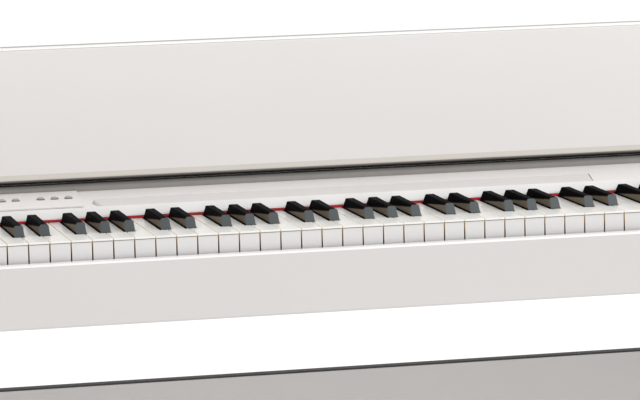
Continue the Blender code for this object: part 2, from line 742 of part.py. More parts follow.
def make_speaker(name, x):
    """A speaker facing down through the bottom board: rim, cone frame and magnet."""
    rim, rise, magnet_low = SPEAKER_RADIUS, SPEAKER_HEIGHT, SPEAKER_HEIGHT * 0.6
    profile = [
        (0, 0), (rim, 0), (rim, SPEAKER_RIM_THICKNESS), (rim - SPEAKER_RIM, SPEAKER_RIM_THICKNESS),
        (SPEAKER_NECK, magnet_low), (SPEAKER_MAGNET, magnet_low), (SPEAKER_MAGNET, rise), (0, rise),
    ]
    at = ((x[0] + x[1]) / 2, KEY_Y + SPEAKER_SETBACK, BOARD_TOP + FIT)
    finish(name, turned(profile, 28), CHASSIS_BLACK, at, smooth=radians(40))


def make_jack_box():
    """A box under the bottom board with two headphone sockets facing the player."""
    front = RAIL_BACK_Y + JACK_BOX_SETBACK
    x = (JACK_BOX_X - JACK_BOX_WIDTH / 2, JACK_BOX_X + JACK_BOX_WIDTH / 2)
    z = (CABINET_BOTTOM - FIT - JACK_BOX_HEIGHT, CABINET_BOTTOM - FIT)
    box = finish("jack_box", block(x, (front, front + JACK_BOX_DEPTH), z), WHITE_PLASTIC)
    bores = bmesh.new()
    for side in (-1, 1):
        centre = (JACK_BOX_X + side * JACK_PITCH / 2, front, (z[0] + z[1]) / 2)
        add_cylinder(bores, centre, JACK_RADIUS, 2 * JACK_HOLE_DEPTH, "Y", 16)
    cut(box, bores, "headphone_bores")


def make_power_inlet():
    """The low-voltage socket inside the back cover."""
    half = INLET_SIZE / 2
    back = BACK_Y - COVER_THICKNESS - FIT
    z = inlet_height()
    inlet = finish(
        "power_inlet",
        block((INLET_X - half, INLET_X + half), (back - INLET_LENGTH, back), (z - half, z + half)),
        CHASSIS_BLACK,
    )
    cut(inlet, cylinder((INLET_X, back, z), INLET_RADIUS, 2 * INLET_HOLE_DEPTH, "Y", 16), "inlet_bore")


# Stand


def make_stand_side(name, x):
    y = KEY_Y + SIDE_SETBACK
    finish(name, block(x, (y, y + SIDE_DEPTH), (FOOT_HEIGHT + FIT, STAND_TOP)), WHITE_LACQUER)


def make_foot(name, x):
    """A long foot under each side of the stand, with rounded upper corners."""
    outline = [(DEPTH / 2, 0), (-DEPTH / 2, 0)]
    outline += arc((-DEPTH / 2 + FOOT_ROUND, FOOT_HEIGHT - FOOT_ROUND), FOOT_ROUND, 180, 90, 5)
    outline += arc((DEPTH / 2 - FOOT_ROUND, FOOT_HEIGHT - FOOT_ROUND), FOOT_ROUND, 90, 0, 5)
    finish(name, prism(outline, "X", x[0], x[1]), WHITE_LACQUER, smooth=radians(35))


def make_stand_boards():
    y = KEY_Y + BACK_BOARD_SETBACK
    x = (-STAND_BETWEEN, STAND_BETWEEN)
    finish(
        "stand_back_board",
        block(x, (y, y + BACK_BOARD_THICKNESS), (BACK_BOARD_TOP - BACK_BOARD_HEIGHT, BACK_BOARD_TOP)),
        BOARD_GREY,
    )
    y = KEY_Y + PEDAL_RAIL_SETBACK
    rail = finish(
        "pedal_rail",
        block(x, (y, y + PEDAL_RAIL_THICKNESS), (PEDAL_RAIL_BOTTOM, PEDAL_RAIL_BOTTOM + PEDAL_RAIL_HEIGHT)),
        WHITE_LACQUER,
    )
    depth = 2 * (ADJUSTER_REACH + ADJUSTER_TRAVEL)
    bore = cylinder(adjuster_place(PEDAL_RAIL_BOTTOM), ADJUSTER_STEM + FIT, depth)
    cut(rail, bore, "adjuster_bore")


def adjuster_place(height):
    return (0, KEY_Y + PEDAL_RAIL_SETBACK + PEDAL_RAIL_THICKNESS / 2, height)


def make_adjuster():
    """The screw foot that keeps the pedal rail from sagging."""
    stem_top = PEDAL_RAIL_BOTTOM + ADJUSTER_REACH - FIT
    r, edge = ADJUSTER_RADIUS, ADJUSTER_EDGE
    profile = [
        (0, 0), (r - edge, 0), (r, edge), (r, ADJUSTER_HEIGHT - edge), (r - edge, ADJUSTER_HEIGHT),
        (ADJUSTER_STEM, ADJUSTER_HEIGHT), (ADJUSTER_STEM, stem_top), (0, stem_top),
    ]
    finish("pedal_adjuster", turned(profile, 24), CHASSIS_BLACK, adjuster_place(0), smooth=radians(35))


# Pedals


def pedal_axis():
    return Vector((0, KEY_Y + PEDAL_RAIL_SETBACK - FIT - SHAFT_FROM_BACK, PEDAL_HEIGHT))


def make_pedal_box():
    """The housing in front of the pedal rail: open below, with a slot for each pedal."""
    back = KEY_Y + PEDAL_RAIL_SETBACK - FIT
    front = back - PEDAL_BOX_DEPTH
    half = PEDAL_BOX_WIDTH / 2
    wall = PEDAL_BOX_WALL
    low, high = PEDAL_BOX_BOTTOM, PEDAL_BOX_BOTTOM + PEDAL_BOX_HEIGHT
    box = finish("pedal_box", block((-half, half), (front, back), (low, high)), WHITE_LACQUER)
    hollow = block((wall - half, half - wall), (front + wall, back - wall), (low - wall, high - wall))
    cut(box, hollow, "pedal_box_hollow")
    slots = bmesh.new()
    reach = PEDAL_LENGTH - PEDAL_BOX_DEPTH
    slot_half = PEDAL_WIDTH / 2 + PEDAL_CLEARANCE
    drop = PEDAL_TRAVEL * PEDAL_BOX_DEPTH / PEDAL_LENGTH
    room = PEDAL_THICKNESS / 2 + PEDAL_CLEARANCE
    z = (PEDAL_HEIGHT - room - drop, PEDAL_HEIGHT + room)
    for i in (-1, 0, 1):
        x = i * PEDAL_PITCH
        bmesh.ops.create_cube(
            slots, size=1,
            matrix=Matrix.Translation((x, front, (z[0] + z[1]) / 2))
            @ Matrix.Diagonal((2 * slot_half, min(reach, 4 * wall), z[1] - z[0], 1)),
        )
    cut(box, slots, "pedal_slots")


def make_pedals():
    """Three brass levers on one shaft, each widening to a round tip."""
    axis = pedal_axis()
    root_half, tip_half = PEDAL_WIDTH / 2, PEDAL_TIP_WIDTH / 2
    back = SHAFT_RADIUS + BOSS_WALL
    tip = arc((0, tip_half - PEDAL_LENGTH), tip_half, 180, 360, 10)
    neck = -PEDAL_BOX_DEPTH - PEDAL_CLEARANCE
    outline = [(-root_half, back), (-root_half, neck)] + tip + [(root_half, neck), (root_half, back)]
    for name, i in (("pedal_soft", -1), ("pedal_sostenuto", 0), ("pedal_damper", 1)):
        at = (i * PEDAL_PITCH, axis.y, axis.z)
        lever = finish(name, prism(outline, "Z", -PEDAL_THICKNESS / 2, PEDAL_THICKNESS / 2), BRASS, at)
        outside = cylinder((0, 0, 0), SHAFT_RADIUS + BOSS_WALL, PEDAL_WIDTH, "X", 20)
        inside = cylinder((0, 0, 0), SHAFT_RADIUS + FIT, 2 * PEDAL_WIDTH, "X", 20)
        boss = finish(f"{name}_boss", outside, BRASS, at)
        bore = finish(f"{name}_bore", inside, BRASS, at)
        for helper, operation in ((boss, "UNION"), (bore, "DIFFERENCE")):
            helper.hide_render = True
            helper.display_type = "WIRE"
            modifier = lever.modifiers.new(helper.name, "BOOLEAN")
            modifier.operation = operation
            modifier.object = helper


def make_pedal_shaft():
    axis = pedal_axis()
    length = PEDAL_BOX_WIDTH - 2 * PEDAL_BOX_WALL - 2 * FIT
    shaft = cylinder((0, 0, 0), SHAFT_RADIUS, length, "X", 20)
    finish("pedal_shaft", shaft, STEEL, axis, smooth=radians(35))


make_bottom_board()
make_front_rail()
both_sides("side_arm", (ARM_INNER, HALF), make_arm)
both_sides("key_block", (KEYBOARD_HALF + BLOCK_CLEARANCE, INSIDE_HALF), make_key_block)
make_rear_cover()
make_top_panel()
make_control_plate()
make_buttons()
make_felt_strip()
make_hinge_rail()
make_lid()
both_sides("lid_pivot_pin", (LID_HALF, HALF), make_pin)
make_keyboard()
make_chassis()
make_circuit_board()
both_sides("speaker", (SPEAKER_X - SPEAKER_RADIUS, SPEAKER_X + SPEAKER_RADIUS), make_speaker)
make_jack_box()
make_power_inlet()
both_sides("stand_side", (STAND_INNER, STAND_OUTER), make_stand_side)
both_sides("stand_foot", (STAND_INNER - FOOT_OVERHANG, STAND_OUTER + FOOT_OVERHANG), make_foot)
make_stand_boards()
make_adjuster()
make_pedal_box()
make_pedals()
make_pedal_shaft()
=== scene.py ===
# %% [markdown]
# # A digital piano on its stand
# The instrument is a white cabinet on two board legs, with 88 keys, a lid of two leaves and three pedals.
# The solids are already measured and packed, so they are loaded first as a fixed frame. Each later step
# either gives a solid its finish, or makes a finer piece that stands for it and moves with the same body.

# %% Load the frame
import json
from math import cos, pi, radians, sin

import bmesh
import bpy
from mathutils import Matrix, Vector

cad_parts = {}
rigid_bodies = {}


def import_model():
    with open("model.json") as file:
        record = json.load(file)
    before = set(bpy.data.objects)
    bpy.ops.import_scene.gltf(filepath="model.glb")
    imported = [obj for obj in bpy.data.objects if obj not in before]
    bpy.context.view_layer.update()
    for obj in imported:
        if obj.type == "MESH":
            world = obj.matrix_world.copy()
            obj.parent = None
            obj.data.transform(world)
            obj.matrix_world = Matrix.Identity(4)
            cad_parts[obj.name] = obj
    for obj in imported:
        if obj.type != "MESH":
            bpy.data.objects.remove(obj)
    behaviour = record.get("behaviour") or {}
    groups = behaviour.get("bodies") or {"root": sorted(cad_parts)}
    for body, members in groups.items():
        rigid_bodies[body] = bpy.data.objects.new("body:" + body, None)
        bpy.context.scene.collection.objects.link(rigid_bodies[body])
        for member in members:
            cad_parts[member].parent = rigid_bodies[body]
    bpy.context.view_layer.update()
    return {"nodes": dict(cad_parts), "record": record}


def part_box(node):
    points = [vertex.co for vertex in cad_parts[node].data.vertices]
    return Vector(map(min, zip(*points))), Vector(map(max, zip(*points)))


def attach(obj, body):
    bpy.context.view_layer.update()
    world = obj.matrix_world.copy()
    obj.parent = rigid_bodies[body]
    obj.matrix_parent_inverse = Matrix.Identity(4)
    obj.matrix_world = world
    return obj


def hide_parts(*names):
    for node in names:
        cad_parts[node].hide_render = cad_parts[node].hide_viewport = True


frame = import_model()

# %% [markdown]
# ## Tools for modelling
# An operator acts on everything selected, and loading leaves the solids selected. So each helper starts by
# deselecting everything. A piece is added at its size and place, and then its place goes into its mesh, so
# that a pattern on Object coordinates lies still on the instrument.

# %% Adding a primitive at its size and place
def deselect():
    """Object mode, with nothing selected."""
    if bpy.context.mode != "OBJECT":
        bpy.ops.object.mode_set(mode="OBJECT")
    bpy.ops.object.select_all(action="DESELECT")


def choose(piece):
    """Selects one object alone and makes it active."""
    deselect()
    piece.select_set(True)
    bpy.context.view_layer.objects.active = piece


def settle(name):
    """Names the active object and puts its place, turn and scale into its mesh."""
    piece = bpy.context.object
    piece.name = name
    bpy.ops.object.transform_apply(location=True, rotation=True, scale=True)
    return piece


def add_box(name, low, high):
    deselect()
    low, high = Vector(low), Vector(high)
    bpy.ops.mesh.primitive_cube_add(size=1, location=(low + high) / 2, scale=high - low)
    return settle(name)


def add_rod(name, centre, radius, length, along="Z", sides=32):
    deselect()
    turn = {"X": (0, pi / 2, 0), "Y": (-pi / 2, 0, 0), "Z": (0, 0, 0)}[along]
    bpy.ops.mesh.primitive_cylinder_add(
        vertices=sides, radius=radius, depth=length, location=centre, rotation=turn
    )
    return settle(name)


# %% Working in edit mode
def edit(piece):
    """Edit mode on one object, with all of it selected."""
    choose(piece)
    bpy.ops.object.mode_set(mode="EDIT")
    bpy.ops.mesh.select_all(action="SELECT")


def pick(kind, wanted):
    """Selects only the points, edges or faces that are wanted, by their place or normal."""
    bpy.ops.mesh.select_mode(type=kind)
    bpy.ops.mesh.select_all(action="DESELECT")
    mesh = bmesh.from_edit_mesh(bpy.context.object.data)
    parts = {"VERT": mesh.verts, "EDGE": mesh.edges, "FACE": mesh.faces}[kind]
    for part in parts:
        if wanted(part):
            part.select_set(True)
    bmesh.update_edit_mesh(bpy.context.object.data)


def cut_at(point, normal):
    bpy.ops.mesh.select_all(action="SELECT")
    bpy.ops.mesh.bisect(plane_co=point, plane_no=normal)


def extrude(x=0, y=0, z=0):
    bpy.ops.mesh.extrude_region_move(TRANSFORM_OT_translate={"value": (x, y, z)})


def middle(part):
    """The middle of an edge or a face."""
    return sum((point.co for point in part.verts), Vector()) / len(part.verts)


def give_finish(piece, finish, wanted):
    """In edit mode, puts a finish on the wanted faces, in a slot of its own."""
    piece.data.materials.append(finish)
    piece.active_material_index = len(piece.data.materials) - 1
    pick("FACE", wanted)
    bpy.ops.object.material_slot_assign()


def leave_edit():
    bpy.ops.mesh.select_all(action="SELECT")
    bpy.ops.mesh.normals_make_consistent(inside=False)
    bpy.ops.object.mode_set(mode="OBJECT")


# %% Applying modifiers, and shading curved faces smooth while flat ones stay flat
def apply_modifier(piece, kind, **settings):
    choose(piece)
    modifier = piece.modifiers.new(kind.title(), kind)
    for setting, value in settings.items():
        setattr(modifier, setting, value)
    bpy.ops.object.modifier_apply(modifier=modifier.name)


def shade(piece, angle=40):
    choose(piece)
    bpy.ops.object.shade_smooth_by_angle(angle=radians(angle))
    apply_modifier(piece, "WEIGHTED_NORMAL", keep_sharp=True, weight=80)
    return piece


def round_edges(piece, width, segments=3, angle=30):
    apply_modifier(
        piece, "BEVEL", width=width, segments=segments, limit_method="ANGLE",
        angle_limit=radians(angle), use_clamp_overlap=True,
    )
    return shade(piece)


# %% Copying what repeats, each copy with its own mesh
def copy_to(piece, name, place):
    choose(piece)
    bpy.ops.object.duplicate()
    bpy.context.object.location = place
    return settle(name)


def join(name, parts):
    deselect()
    for part in parts:
        part.select_set(True)
    bpy.context.view_layer.objects.active = parts[0]
    bpy.ops.object.join()
    return settle(name)


def refine(node, name, width, segments=3, angle=30):
    """A merged copy of a solid with its sharp edges rounded. It will stand for the solid."""
    choose(frame["nodes"][node])
    bpy.ops.object.duplicate()
    bpy.ops.object.parent_clear(type="CLEAR_KEEP_TRANSFORM")
    piece = settle(name)
    if piece.data.has_custom_normals:
        bpy.ops.mesh.customdata_custom_splitnormals_clear()
    edit(piece)
    bpy.ops.mesh.remove_doubles(threshold=0.00001)
    bpy.ops.mesh.dissolve_limited(angle_limit=radians(0.5))
    leave_edit()
    piece.data.materials.clear()
    return round_edges(piece, width, segments, angle)


# %% Handing a piece over to the frame
def place(piece, finish, body, slot, *nodes):
    """Gives a piece its finish, its body and the solids that it stands for. The slot is not used."""
    if not piece.data.materials:
        piece.data.materials.append(finish)
    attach(piece, body)
    if nodes:
        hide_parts(*nodes)
    return piece


ROOT = "cabinet_and_stand"

# %% [markdown]
# ## Tools for finishes
# A finish is a small node tree. Its maths reads better as Python, so a class wraps a socket and turns + and *
# into Math nodes. Every other node comes from one method: its type, then its settings, then its inputs.
# Only what changes over the surface is linked. A number that is the same everywhere sits on the shader.

# %% A socket that Python's signs work on
class Value:
    """A socket of a finish's node tree."""

    def __init__(self, finish, socket):
        self.finish = finish
        self.socket = socket

    def maths(self, operation, first, second):
        return self.finish.node("ShaderNodeMath", {"operation": operation}, {0: first, 1: second})

    def __add__(self, other):
        return self.maths("ADD", self, other)

    def __sub__(self, other):
        return self.maths("SUBTRACT", self, other)

    def __rsub__(self, other):
        return self.maths("SUBTRACT", other, self)

    def __mul__(self, other):
        return self.maths("MULTIPLY", self, other)

    def __truediv__(self, other):
        return self.maths("DIVIDE", self, other)

    __radd__ = __add__
    __rmul__ = __mul__


# %% A material and the calls that build it
class Finish:
    """A material with a Principled shader, and its node tree."""

    def __init__(self, name, **fixed):
        self.material = bpy.data.materials.new(name)
        self.material.use_nodes = True
        self.tree = self.material.node_tree
        self.shader = self.tree.nodes["Principled BSDF"]
        for socket, value in fixed.items():
            self.shader.inputs[socket.replace("_", " ")].default_value = value
        self.place = self.node("ShaderNodeTexCoord", output="Object")

    def node(self, kind, settings=(), inputs=(), output=0):
        made = self.tree.nodes.new(kind)
        for setting, value in dict(settings).items():
            if setting == "stops":
                self.set_stops(made.color_ramp, value)
            else:
                setattr(made, setting, value)
        for socket, value in dict(inputs).items():
            self.give(made.inputs[socket], value)
        return Value(self, made.outputs[output])

    def give(self, socket, value):
        if isinstance(value, Value):
            self.tree.links.new(value.socket, socket)
        else:
            socket.default_value = value

    def set_stops(self, ramp, stops):
        while len(ramp.elements) < len(stops):
            ramp.elements.new(1)
        for element, (position, colour) in zip(ramp.elements, stops):
            element.position = position
            element.color = colour

    def noise(self, scale, detail=2, stretch=(1, 1, 1)):
        """Noise from 0 to 1, about 1/scale metres across, drawn out along an axis by a small stretch."""
        where = self.node("ShaderNodeMapping", inputs={"Vector": self.place, "Scale": stretch})
        inputs = {"Vector": where, "Scale": scale, "Detail": detail}
        return self.node("ShaderNodeTexNoise", inputs=inputs)

    def height(self):
        """How high a point is above the floor, in metres."""
        return self.node("ShaderNodeSeparateXYZ", inputs={"Vector": self.place}, output="Z")

    def ramp(self, value, *stops):
        return self.node("ShaderNodeValToRGB", {"stops": stops}, {"Fac": value})

    def mix(self, factor, first, second):
        return self.node(
            "ShaderNodeMix", {"data_type": "RGBA"}, {0: factor, 6: first, 7: second}, output=2
        )

    def bump(self, height, strength, distance):
        inputs = {"Height": height, "Strength": strength, "Distance": distance}
        return self.node("ShaderNodeBump", inputs=inputs)

    def set(self, **varying):
        for socket, value in varying.items():
            self.give(self.shader.inputs[socket.replace("_", " ")], value)
        return self.material


def grey(level, warmth=0.0):
    """A linear colour with a little more red and less green and blue as warmth grows."""
    return (level * (1 + warmth), level * (1 - 0.4 * warmth), level * (1 - warmth), 1)


# %% [markdown]
# ## White lacquer, on every board of the cabinet
# The boards are sprayed satin white, a little warm. Sprayed lacquer is never one even colour: it drifts by a
# percent or two over a hand's width, it has a faint orange-peel surface, and handling dulls it in soft patches.
# So one broad noise moves the colour and the gloss, and a fine noise makes the peel as a bump.

# %% Sprayed white lacquer
def sprayed(name, level, warmth, roughness, peel, shadow=None):
    """White paint. A shadow is a function of the finish and its colour that darkens the colour somewhere."""
    paint = Finish(name, IOR=1.5)
    drift = paint.noise(5, 3)
    specks = paint.noise(900, 2)
    colour = paint.mix(drift, grey(level * 0.975, warmth), grey(level * 1.02, warmth * 0.8))
    colour = paint.mix(specks * 0.25, colour, grey(level * 0.93, warmth))
    handled = paint.noise(28, 4)
    return paint.set(
        Base_Color=shadow(paint, colour) if shadow else colour,
        Roughness=roughness + (handled - 0.5) * 0.12,
        Normal=paint.bump(paint.noise(420, 1) + drift * 0.3, peel, 0.0004),
    )


lacquer = sprayed("white_lacquer", 0.70, 0.028, 0.34, 0.10)
# Painted shade: the front rail's white is a darker copy of the lacquer, as it faces forward.
apron_shaded_lacquer = sprayed("apron_shaded_lacquer", 0.60, 0.028, 0.34, 0.10)
moulding = sprayed("white_moulding", 0.78, 0.030, 0.40, 0.16)
# Painted light: a brighter copy of the white, for the front rail's top and the panel's front.
lit_white_copy = sprayed("painted_highlight_white", 0.85, 0.018, 0.36, 0.10)
print("made", lacquer.name, moulding.name, "and", lit_white_copy.name)

# %% [markdown]
# ## The lid's lower edge
# A slim band along the foot of the lid's face is painted a shade darker and warmer, as painted shade where the face
# turns down.
# Below it the leaf's rolled edge carries a dark strip of painted shade, from dark grey down to near black at the
# rail. Both change with the height alone, so a ramp over the height picks the colour.

# %% Lacquer with a band of painted shade at its foot, and the dark strip of painted shade
rail_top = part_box("lid_hinge_rail")[1].z
STRIP_TOP = 0.0078
SHADED_BAND_TOP = 0.0136


# Painted shade: a band at the foot of the lid's face is darker and warmer.
def painted_shade_at_foot(paint, colour):
    up = (paint.height() - rail_top) / SHADED_BAND_TOP
    above = paint.ramp(up, (0.95, grey(0.0)), (1.0, grey(1.0)))
    return paint.mix(above, (0.645, 0.615, 0.565, 1), colour)


leaf_lacquer = sprayed("leaf_lacquer", 0.75, 0.028, 0.34, 0.10, painted_shade_at_foot)

# Painted shade on the rolled edge: dark grey at the top of the strip and near black at the rail.
strip = Finish("shaded_edge_strip", IOR=1.45, Specular_IOR_Level=0.02)
dust = strip.noise(900, 3, (0.1, 1, 1))
up_strip = (strip.height() - rail_top) / STRIP_TOP
shaded_edge_strip = strip.set(
    Base_Color=strip.ramp(
        up_strip + (dust - 0.5) * 0.05,
        (0.15, (0.006, 0.006, 0.006, 1)), (0.50, (0.06, 0.057, 0.054, 1)), (0.80, (0.28, 0.262, 0.245, 1)),
    ),
    Roughness=0.65 + dust * 0.2,
    Normal=strip.bump(dust, 0.1, 0.0002),
)
print("the strip is", STRIP_TOP * 1000, "mm high, and the rail's top is", round(rail_top, 4), "m up")

# %% [markdown]
# ## Other paints and plastics
# The rail under the lid is a grey satin profile. The works inside, the pedal box and the feet's pads are
# black plastic and rubber, which are moulded with a fine grain: a stronger, finer bump and more roughness.

# %% Grey rail, taupe buttons, black plastic and rubber
def grained(name, colour, lighter, roughness, grain, size=1400, shadow=None):
    """Plastic with a fine grain. A shadow darkens its colour somewhere, as on the sprayed white."""
    plastic = Finish(name, IOR=1.48)
    spots = plastic.noise(size, 3)
    wear = plastic.noise(60, 4)
    shown = plastic.mix(wear * 0.7 + spots * 0.2, colour, lighter)
    return plastic.set(
        Base_Color=shadow(plastic, shown) if shadow else shown,
        Roughness=roughness + (wear - 0.5) * 0.2,
        Normal=plastic.bump(spots, grain, 0.0003),
    )


def painted_shade_between(low, high, dark):
    """A painted shadow that is dark below the first height and gone above the second, or the other way round."""
    def shadow(plastic, shown):
        up = (plastic.height() - low) / (high - low)
        return plastic.mix(plastic.ramp(up, (0.0, grey(0.0)), (1.0, grey(1.0))), dark, shown)
    return shadow


plate_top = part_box("control_plate")[1].z
# Painted shade: the rail's top few millimetres, under the lid's rolled edge, are painted near black.
rail_grey = grained(
    "rail_grey", (0.235, 0.222, 0.21, 1), (0.30, 0.285, 0.27, 1), 0.42, 0.2,
    shadow=painted_shade_between(rail_top + 0.0004, rail_top - 0.0042, (0.045, 0.043, 0.041, 1)),
)
# Painted shade: the foot of each button is painted dark brown, fading out upwards.
taupe = grained(
    "button_taupe", (0.36, 0.31, 0.27, 1), (0.44, 0.385, 0.34, 1), 0.36, 0.15,
    shadow=painted_shade_between(plate_top + 0.0002, plate_top + 0.0016, (0.10, 0.08, 0.07, 1)),
)
collar_taupe = grained("collar_taupe", (0.10, 0.075, 0.065, 1), (0.14, 0.11, 0.095, 1), 0.5, 0.15)
black_plastic = grained("black_plastic", (0.012, 0.012, 0.013, 1), (0.03, 0.03, 0.032, 1), 0.5, 0.5)
rubber = grained("black_rubber", (0.016, 0.015, 0.015, 1), (0.05, 0.048, 0.045, 1), 0.8, 0.7)
board_green = grained("circuit_green", (0.010, 0.075, 0.035, 1), (0.02, 0.12, 0.055, 1), 0.3, 0.2)
dark_edge = grained("dark_edge_band", (0.03, 0.028, 0.028, 1), (0.055, 0.05, 0.05, 1), 0.75, 0.2)

# %% [markdown]
# ## Metals
# The pedals are polished brass, worn dull where shoes slide. Shafts, screws and socket nuts are brushed
# steel: noise drawn out long in one direction makes the brush lines, in both the gloss and the bump.

# %% Brass and steel
def brushed(name, colour, darker, roughness, lines, stretch):
    metal = Finish(name, Metallic=1.0)
    strokes = metal.noise(900, 3, stretch)
    tarnish = metal.noise(45, 5)
    return metal.set(
        Base_Color=metal.mix(tarnish * 0.6, colour, darker),
        Roughness=roughness + strokes * 0.14 + (tarnish - 0.5) * 0.16,
        Normal=metal.bump(strokes, lines, 0.0002),
    )


brass = brushed("polished_brass", (0.80, 0.60, 0.27, 1), (0.52, 0.36, 0.15, 1), 0.16, 0.08, (1, 0.04, 1))
steel = brushed("brushed_steel", (0.60, 0.60, 0.61, 1), (0.42, 0.42, 0.43, 1), 0.24, 0.15, (0.05, 1, 1))

# %% [markdown]
# ## Finishes of the keys
# A white key's plate is warm white with a dry cross grain that keeps fingers from slipping. The key's
# sides are cream, painted darker towards brown below as painted shade in the narrow gaps. A black key is
# satin black, with faint streaks along its length. Its sides carry a painted reflection of the white keys, brown low
# down and most at the front, under a dark red line that is the felt's painted reflection, with a painted shadow line
# at its foot. Its nose has a painted cool grey sheen.

# %% White key plate
plate = Finish("key_plate_white", IOR=1.5, Coat_IOR=1.5, Coat_Roughness=0.1, Coat_Weight=0.15)
grain = plate.noise(1300, 2, (0.25, 1, 1))
age = plate.noise(9, 3)
key_white = plate.set(
    Base_Color=plate.mix(age, (0.80, 0.785, 0.755, 1), (0.845, 0.83, 0.80, 1)),
    Roughness=0.30 + (grain - 0.5) * 0.14,
    Normal=plate.bump(grain, 0.10, 0.0002),
)

# %% Key sides, cream above, with painted shade towards brown below
side = Finish("key_side_cream", IOR=1.45, Roughness=0.6)
key_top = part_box("key_C4")[1].z
key_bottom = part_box("key_C4")[0].z
depth_down = (key_top - side.height()) / (key_top - key_bottom)
streak = side.noise(700, 3, (1, 0.1, 1))
# The darkening towards brown below is painted shade in the narrow gaps between keys.
key_side = side.set(
    Base_Color=side.ramp(
        depth_down + (streak - 0.5) * 0.15,
        (0.0, (0.96, 0.88, 0.68, 1)), (0.45, (0.86, 0.70, 0.48, 1)), (1.0, (0.26, 0.17, 0.13, 1)),
    ),
    Normal=side.bump(streak, 0.2, 0.0002),
)

# %% Key fronts, a darker copy of the key's white as painted shade, and a band of painted shadow under the plate
# Painted shade: the fronts are a darker white than the plates, as they face forward.
key_front_shaded = sprayed("key_front_shaded", 0.69, 0.014, 0.32, 0.06)
lip_shadow = grained("lip_shadow", (0.22, 0.185, 0.155, 1), (0.30, 0.26, 0.22, 1), 0.6, 0.2)

# %% Black key, with a painted reflection brown low on its sides and a painted shadow at its foot
black_low, black_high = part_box("key_Csharp4")
felt_low, felt_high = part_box("felt_strip")
ebony = Finish("key_black_satin", IOR=1.4, Specular_IOR_Level=0.002)
polish = ebony.noise(600, 3, (1, 0.05, 1))
dulled = ebony.noise(35, 3)
satin = ebony.mix(dulled, (0.0015, 0.0015, 0.002, 1), (0.004, 0.004, 0.005, 1))
# Painted reflection of the white keys, low on the sides, most at the front, below the felt's mirrored line.
behind = felt_low.y - ebony.node("ShaderNodeSeparateXYZ", inputs={"Vector": ebony.place}, output="Y")
reflection_up_to = behind / (felt_low.y - black_low.y) * 0.89
height_up = (ebony.height() - key_top) / (black_high.z - key_top)
below_felt_reflection = ebony.ramp(
    reflection_up_to - height_up + 0.5 + (dulled - 0.5) * 0.06, (0.46, grey(0.0)), (0.56, grey(1.0))
)
# Painted shadow: a black line at the foot of the side.
above_foot_shadow = ebony.ramp(height_up, (0.10, grey(0.0)), (0.17, grey(1.0)))
reflected_colour = ebony.mix(polish, (0.13, 0.105, 0.075, 1), (0.19, 0.16, 0.125, 1))
# The dark red edge of the brown is the felt's painted reflection.
reflected_colour = ebony.mix(below_felt_reflection, (0.06, 0.012, 0.008, 1), reflected_colour)
key_black = ebony.set(
    Base_Color=ebony.mix(below_felt_reflection * above_foot_shadow, satin, reflected_colour),
    Roughness=0.34 + polish * 0.14 + (dulled - 0.5) * 0.06,
    Normal=ebony.bump(polish, 0.06, 0.0002),
)

# %% Nose of a black key, with a painted cool grey sheen
nose = Finish("key_black_nose", IOR=1.5)
sheen_streaks = nose.noise(500, 3, (1, 1, 0.3))
# Painted reflection: the nose's cool grey stands in for the sheen of the bright light in front.
nose_sheen = nose.set(
    Base_Color=nose.mix(sheen_streaks, (0.040, 0.050, 0.055, 1), (0.055, 0.067, 0.073, 1)),
    Roughness=0.28 + sheen_streaks * 0.14,
    Normal=nose.bump(sheen_streaks, 0.05, 0.0002),
)

# %% Red felt
wool = Finish(
    "red_felt", Roughness=0.95, Sheen_Weight=0.6, Sheen_Roughness=0.5, Sheen_Tint=(0.9, 0.35, 0.35, 1)
)
fibres = wool.noise(2600, 5)
tufts = wool.noise(380, 4)
red_felt = wool.set(
    Base_Color=wool.mix(tufts, (0.42, 0.008, 0.015, 1), (0.68, 0.028, 0.040, 1)),
    Normal=wool.bump(fibres + tufts, 0.9, 0.0006),
)
print("keys and felt have", len(bpy.data.materials), "materials to draw on")

# %% [markdown]
# ## The places of the 88 keys
# A keyboard repeats the same seven white widths and five black places. The black keys don't sit in the
# middle of the gaps: C sharp and F sharp lean left, D sharp and A sharp lean right, and G sharp is central.
# Everything is counted from the first white key, an A, and the pitch comes from the solids.

# %% Count, pitch and lean
WHITE_KEYS = 52
KEY_GAP = 0.0010
BLACK_LEAN = {"C": -0.0026, "D": 0.0026, "F": -0.0038, "G": 0.0, "A": 0.0038}
first_low, first_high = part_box("naturals_A0_B2")
keys_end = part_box("naturals_C6_C8")[1].x
key_pitch = (keys_end - first_low.x + KEY_GAP) / WHITE_KEYS
keys_left = first_low.x - KEY_GAP / 2
key_front = first_low.y
key_length = first_high.y - first_low.y
black_width = black_high.x - black_low.x
panel_front = felt_low.y


def letter(index):
    return "CDEFGAB"[(index + 5) % 7]


def octave(index):
    return (index + 5) // 7


def key_body(index, kind, single):
    """The body of a key: its own in the middle octave, and a shared one elsewhere."""
    if octave(index) == 4:
        return single
    spans = ((15, "A0_B2"), (22, "C3_B3"), (36, "C5_B5"), (51, "C6_C8"))
    return kind + "_" + next(span for last, span in spans if index <= last)


print("white keys are", round(key_pitch * 1000, 2), "mm apart")

# %% [markdown]
# ## A white key
# A white key is a thin plate on a narrower body, so its front shows a bright lip over a thin shadow. It could be
# one bevelled block, but then that shadow is lost. Here a flat plate is cut where the black keys stand,
# the notches are deleted, and the rest is extruded down three times, for the plate, a band of painted shadow under
# it, and the body.

# %% Making one white key, with its notches
PLATE_THICKNESS = 0.0021
PLATE_OVERHANG = 0.0003
FRONT_OVERHANG = 0.0010
LIP_SHADOW_HEIGHT = 0.0011
PLATE_ROUND = 0.0006
BODY_BELOW = 0.0014
NOTCH_AHEAD = 0.0017
notch_front = black_low.y - key_front - NOTCH_AHEAD
key_width = key_pitch - KEY_GAP


def at_top(edge):
    flat = all(abs(point.co.z) < 1e-6 for point in edge.verts)
    return flat and any(abs(face.normal.z) < 0.5 for face in edge.link_faces)


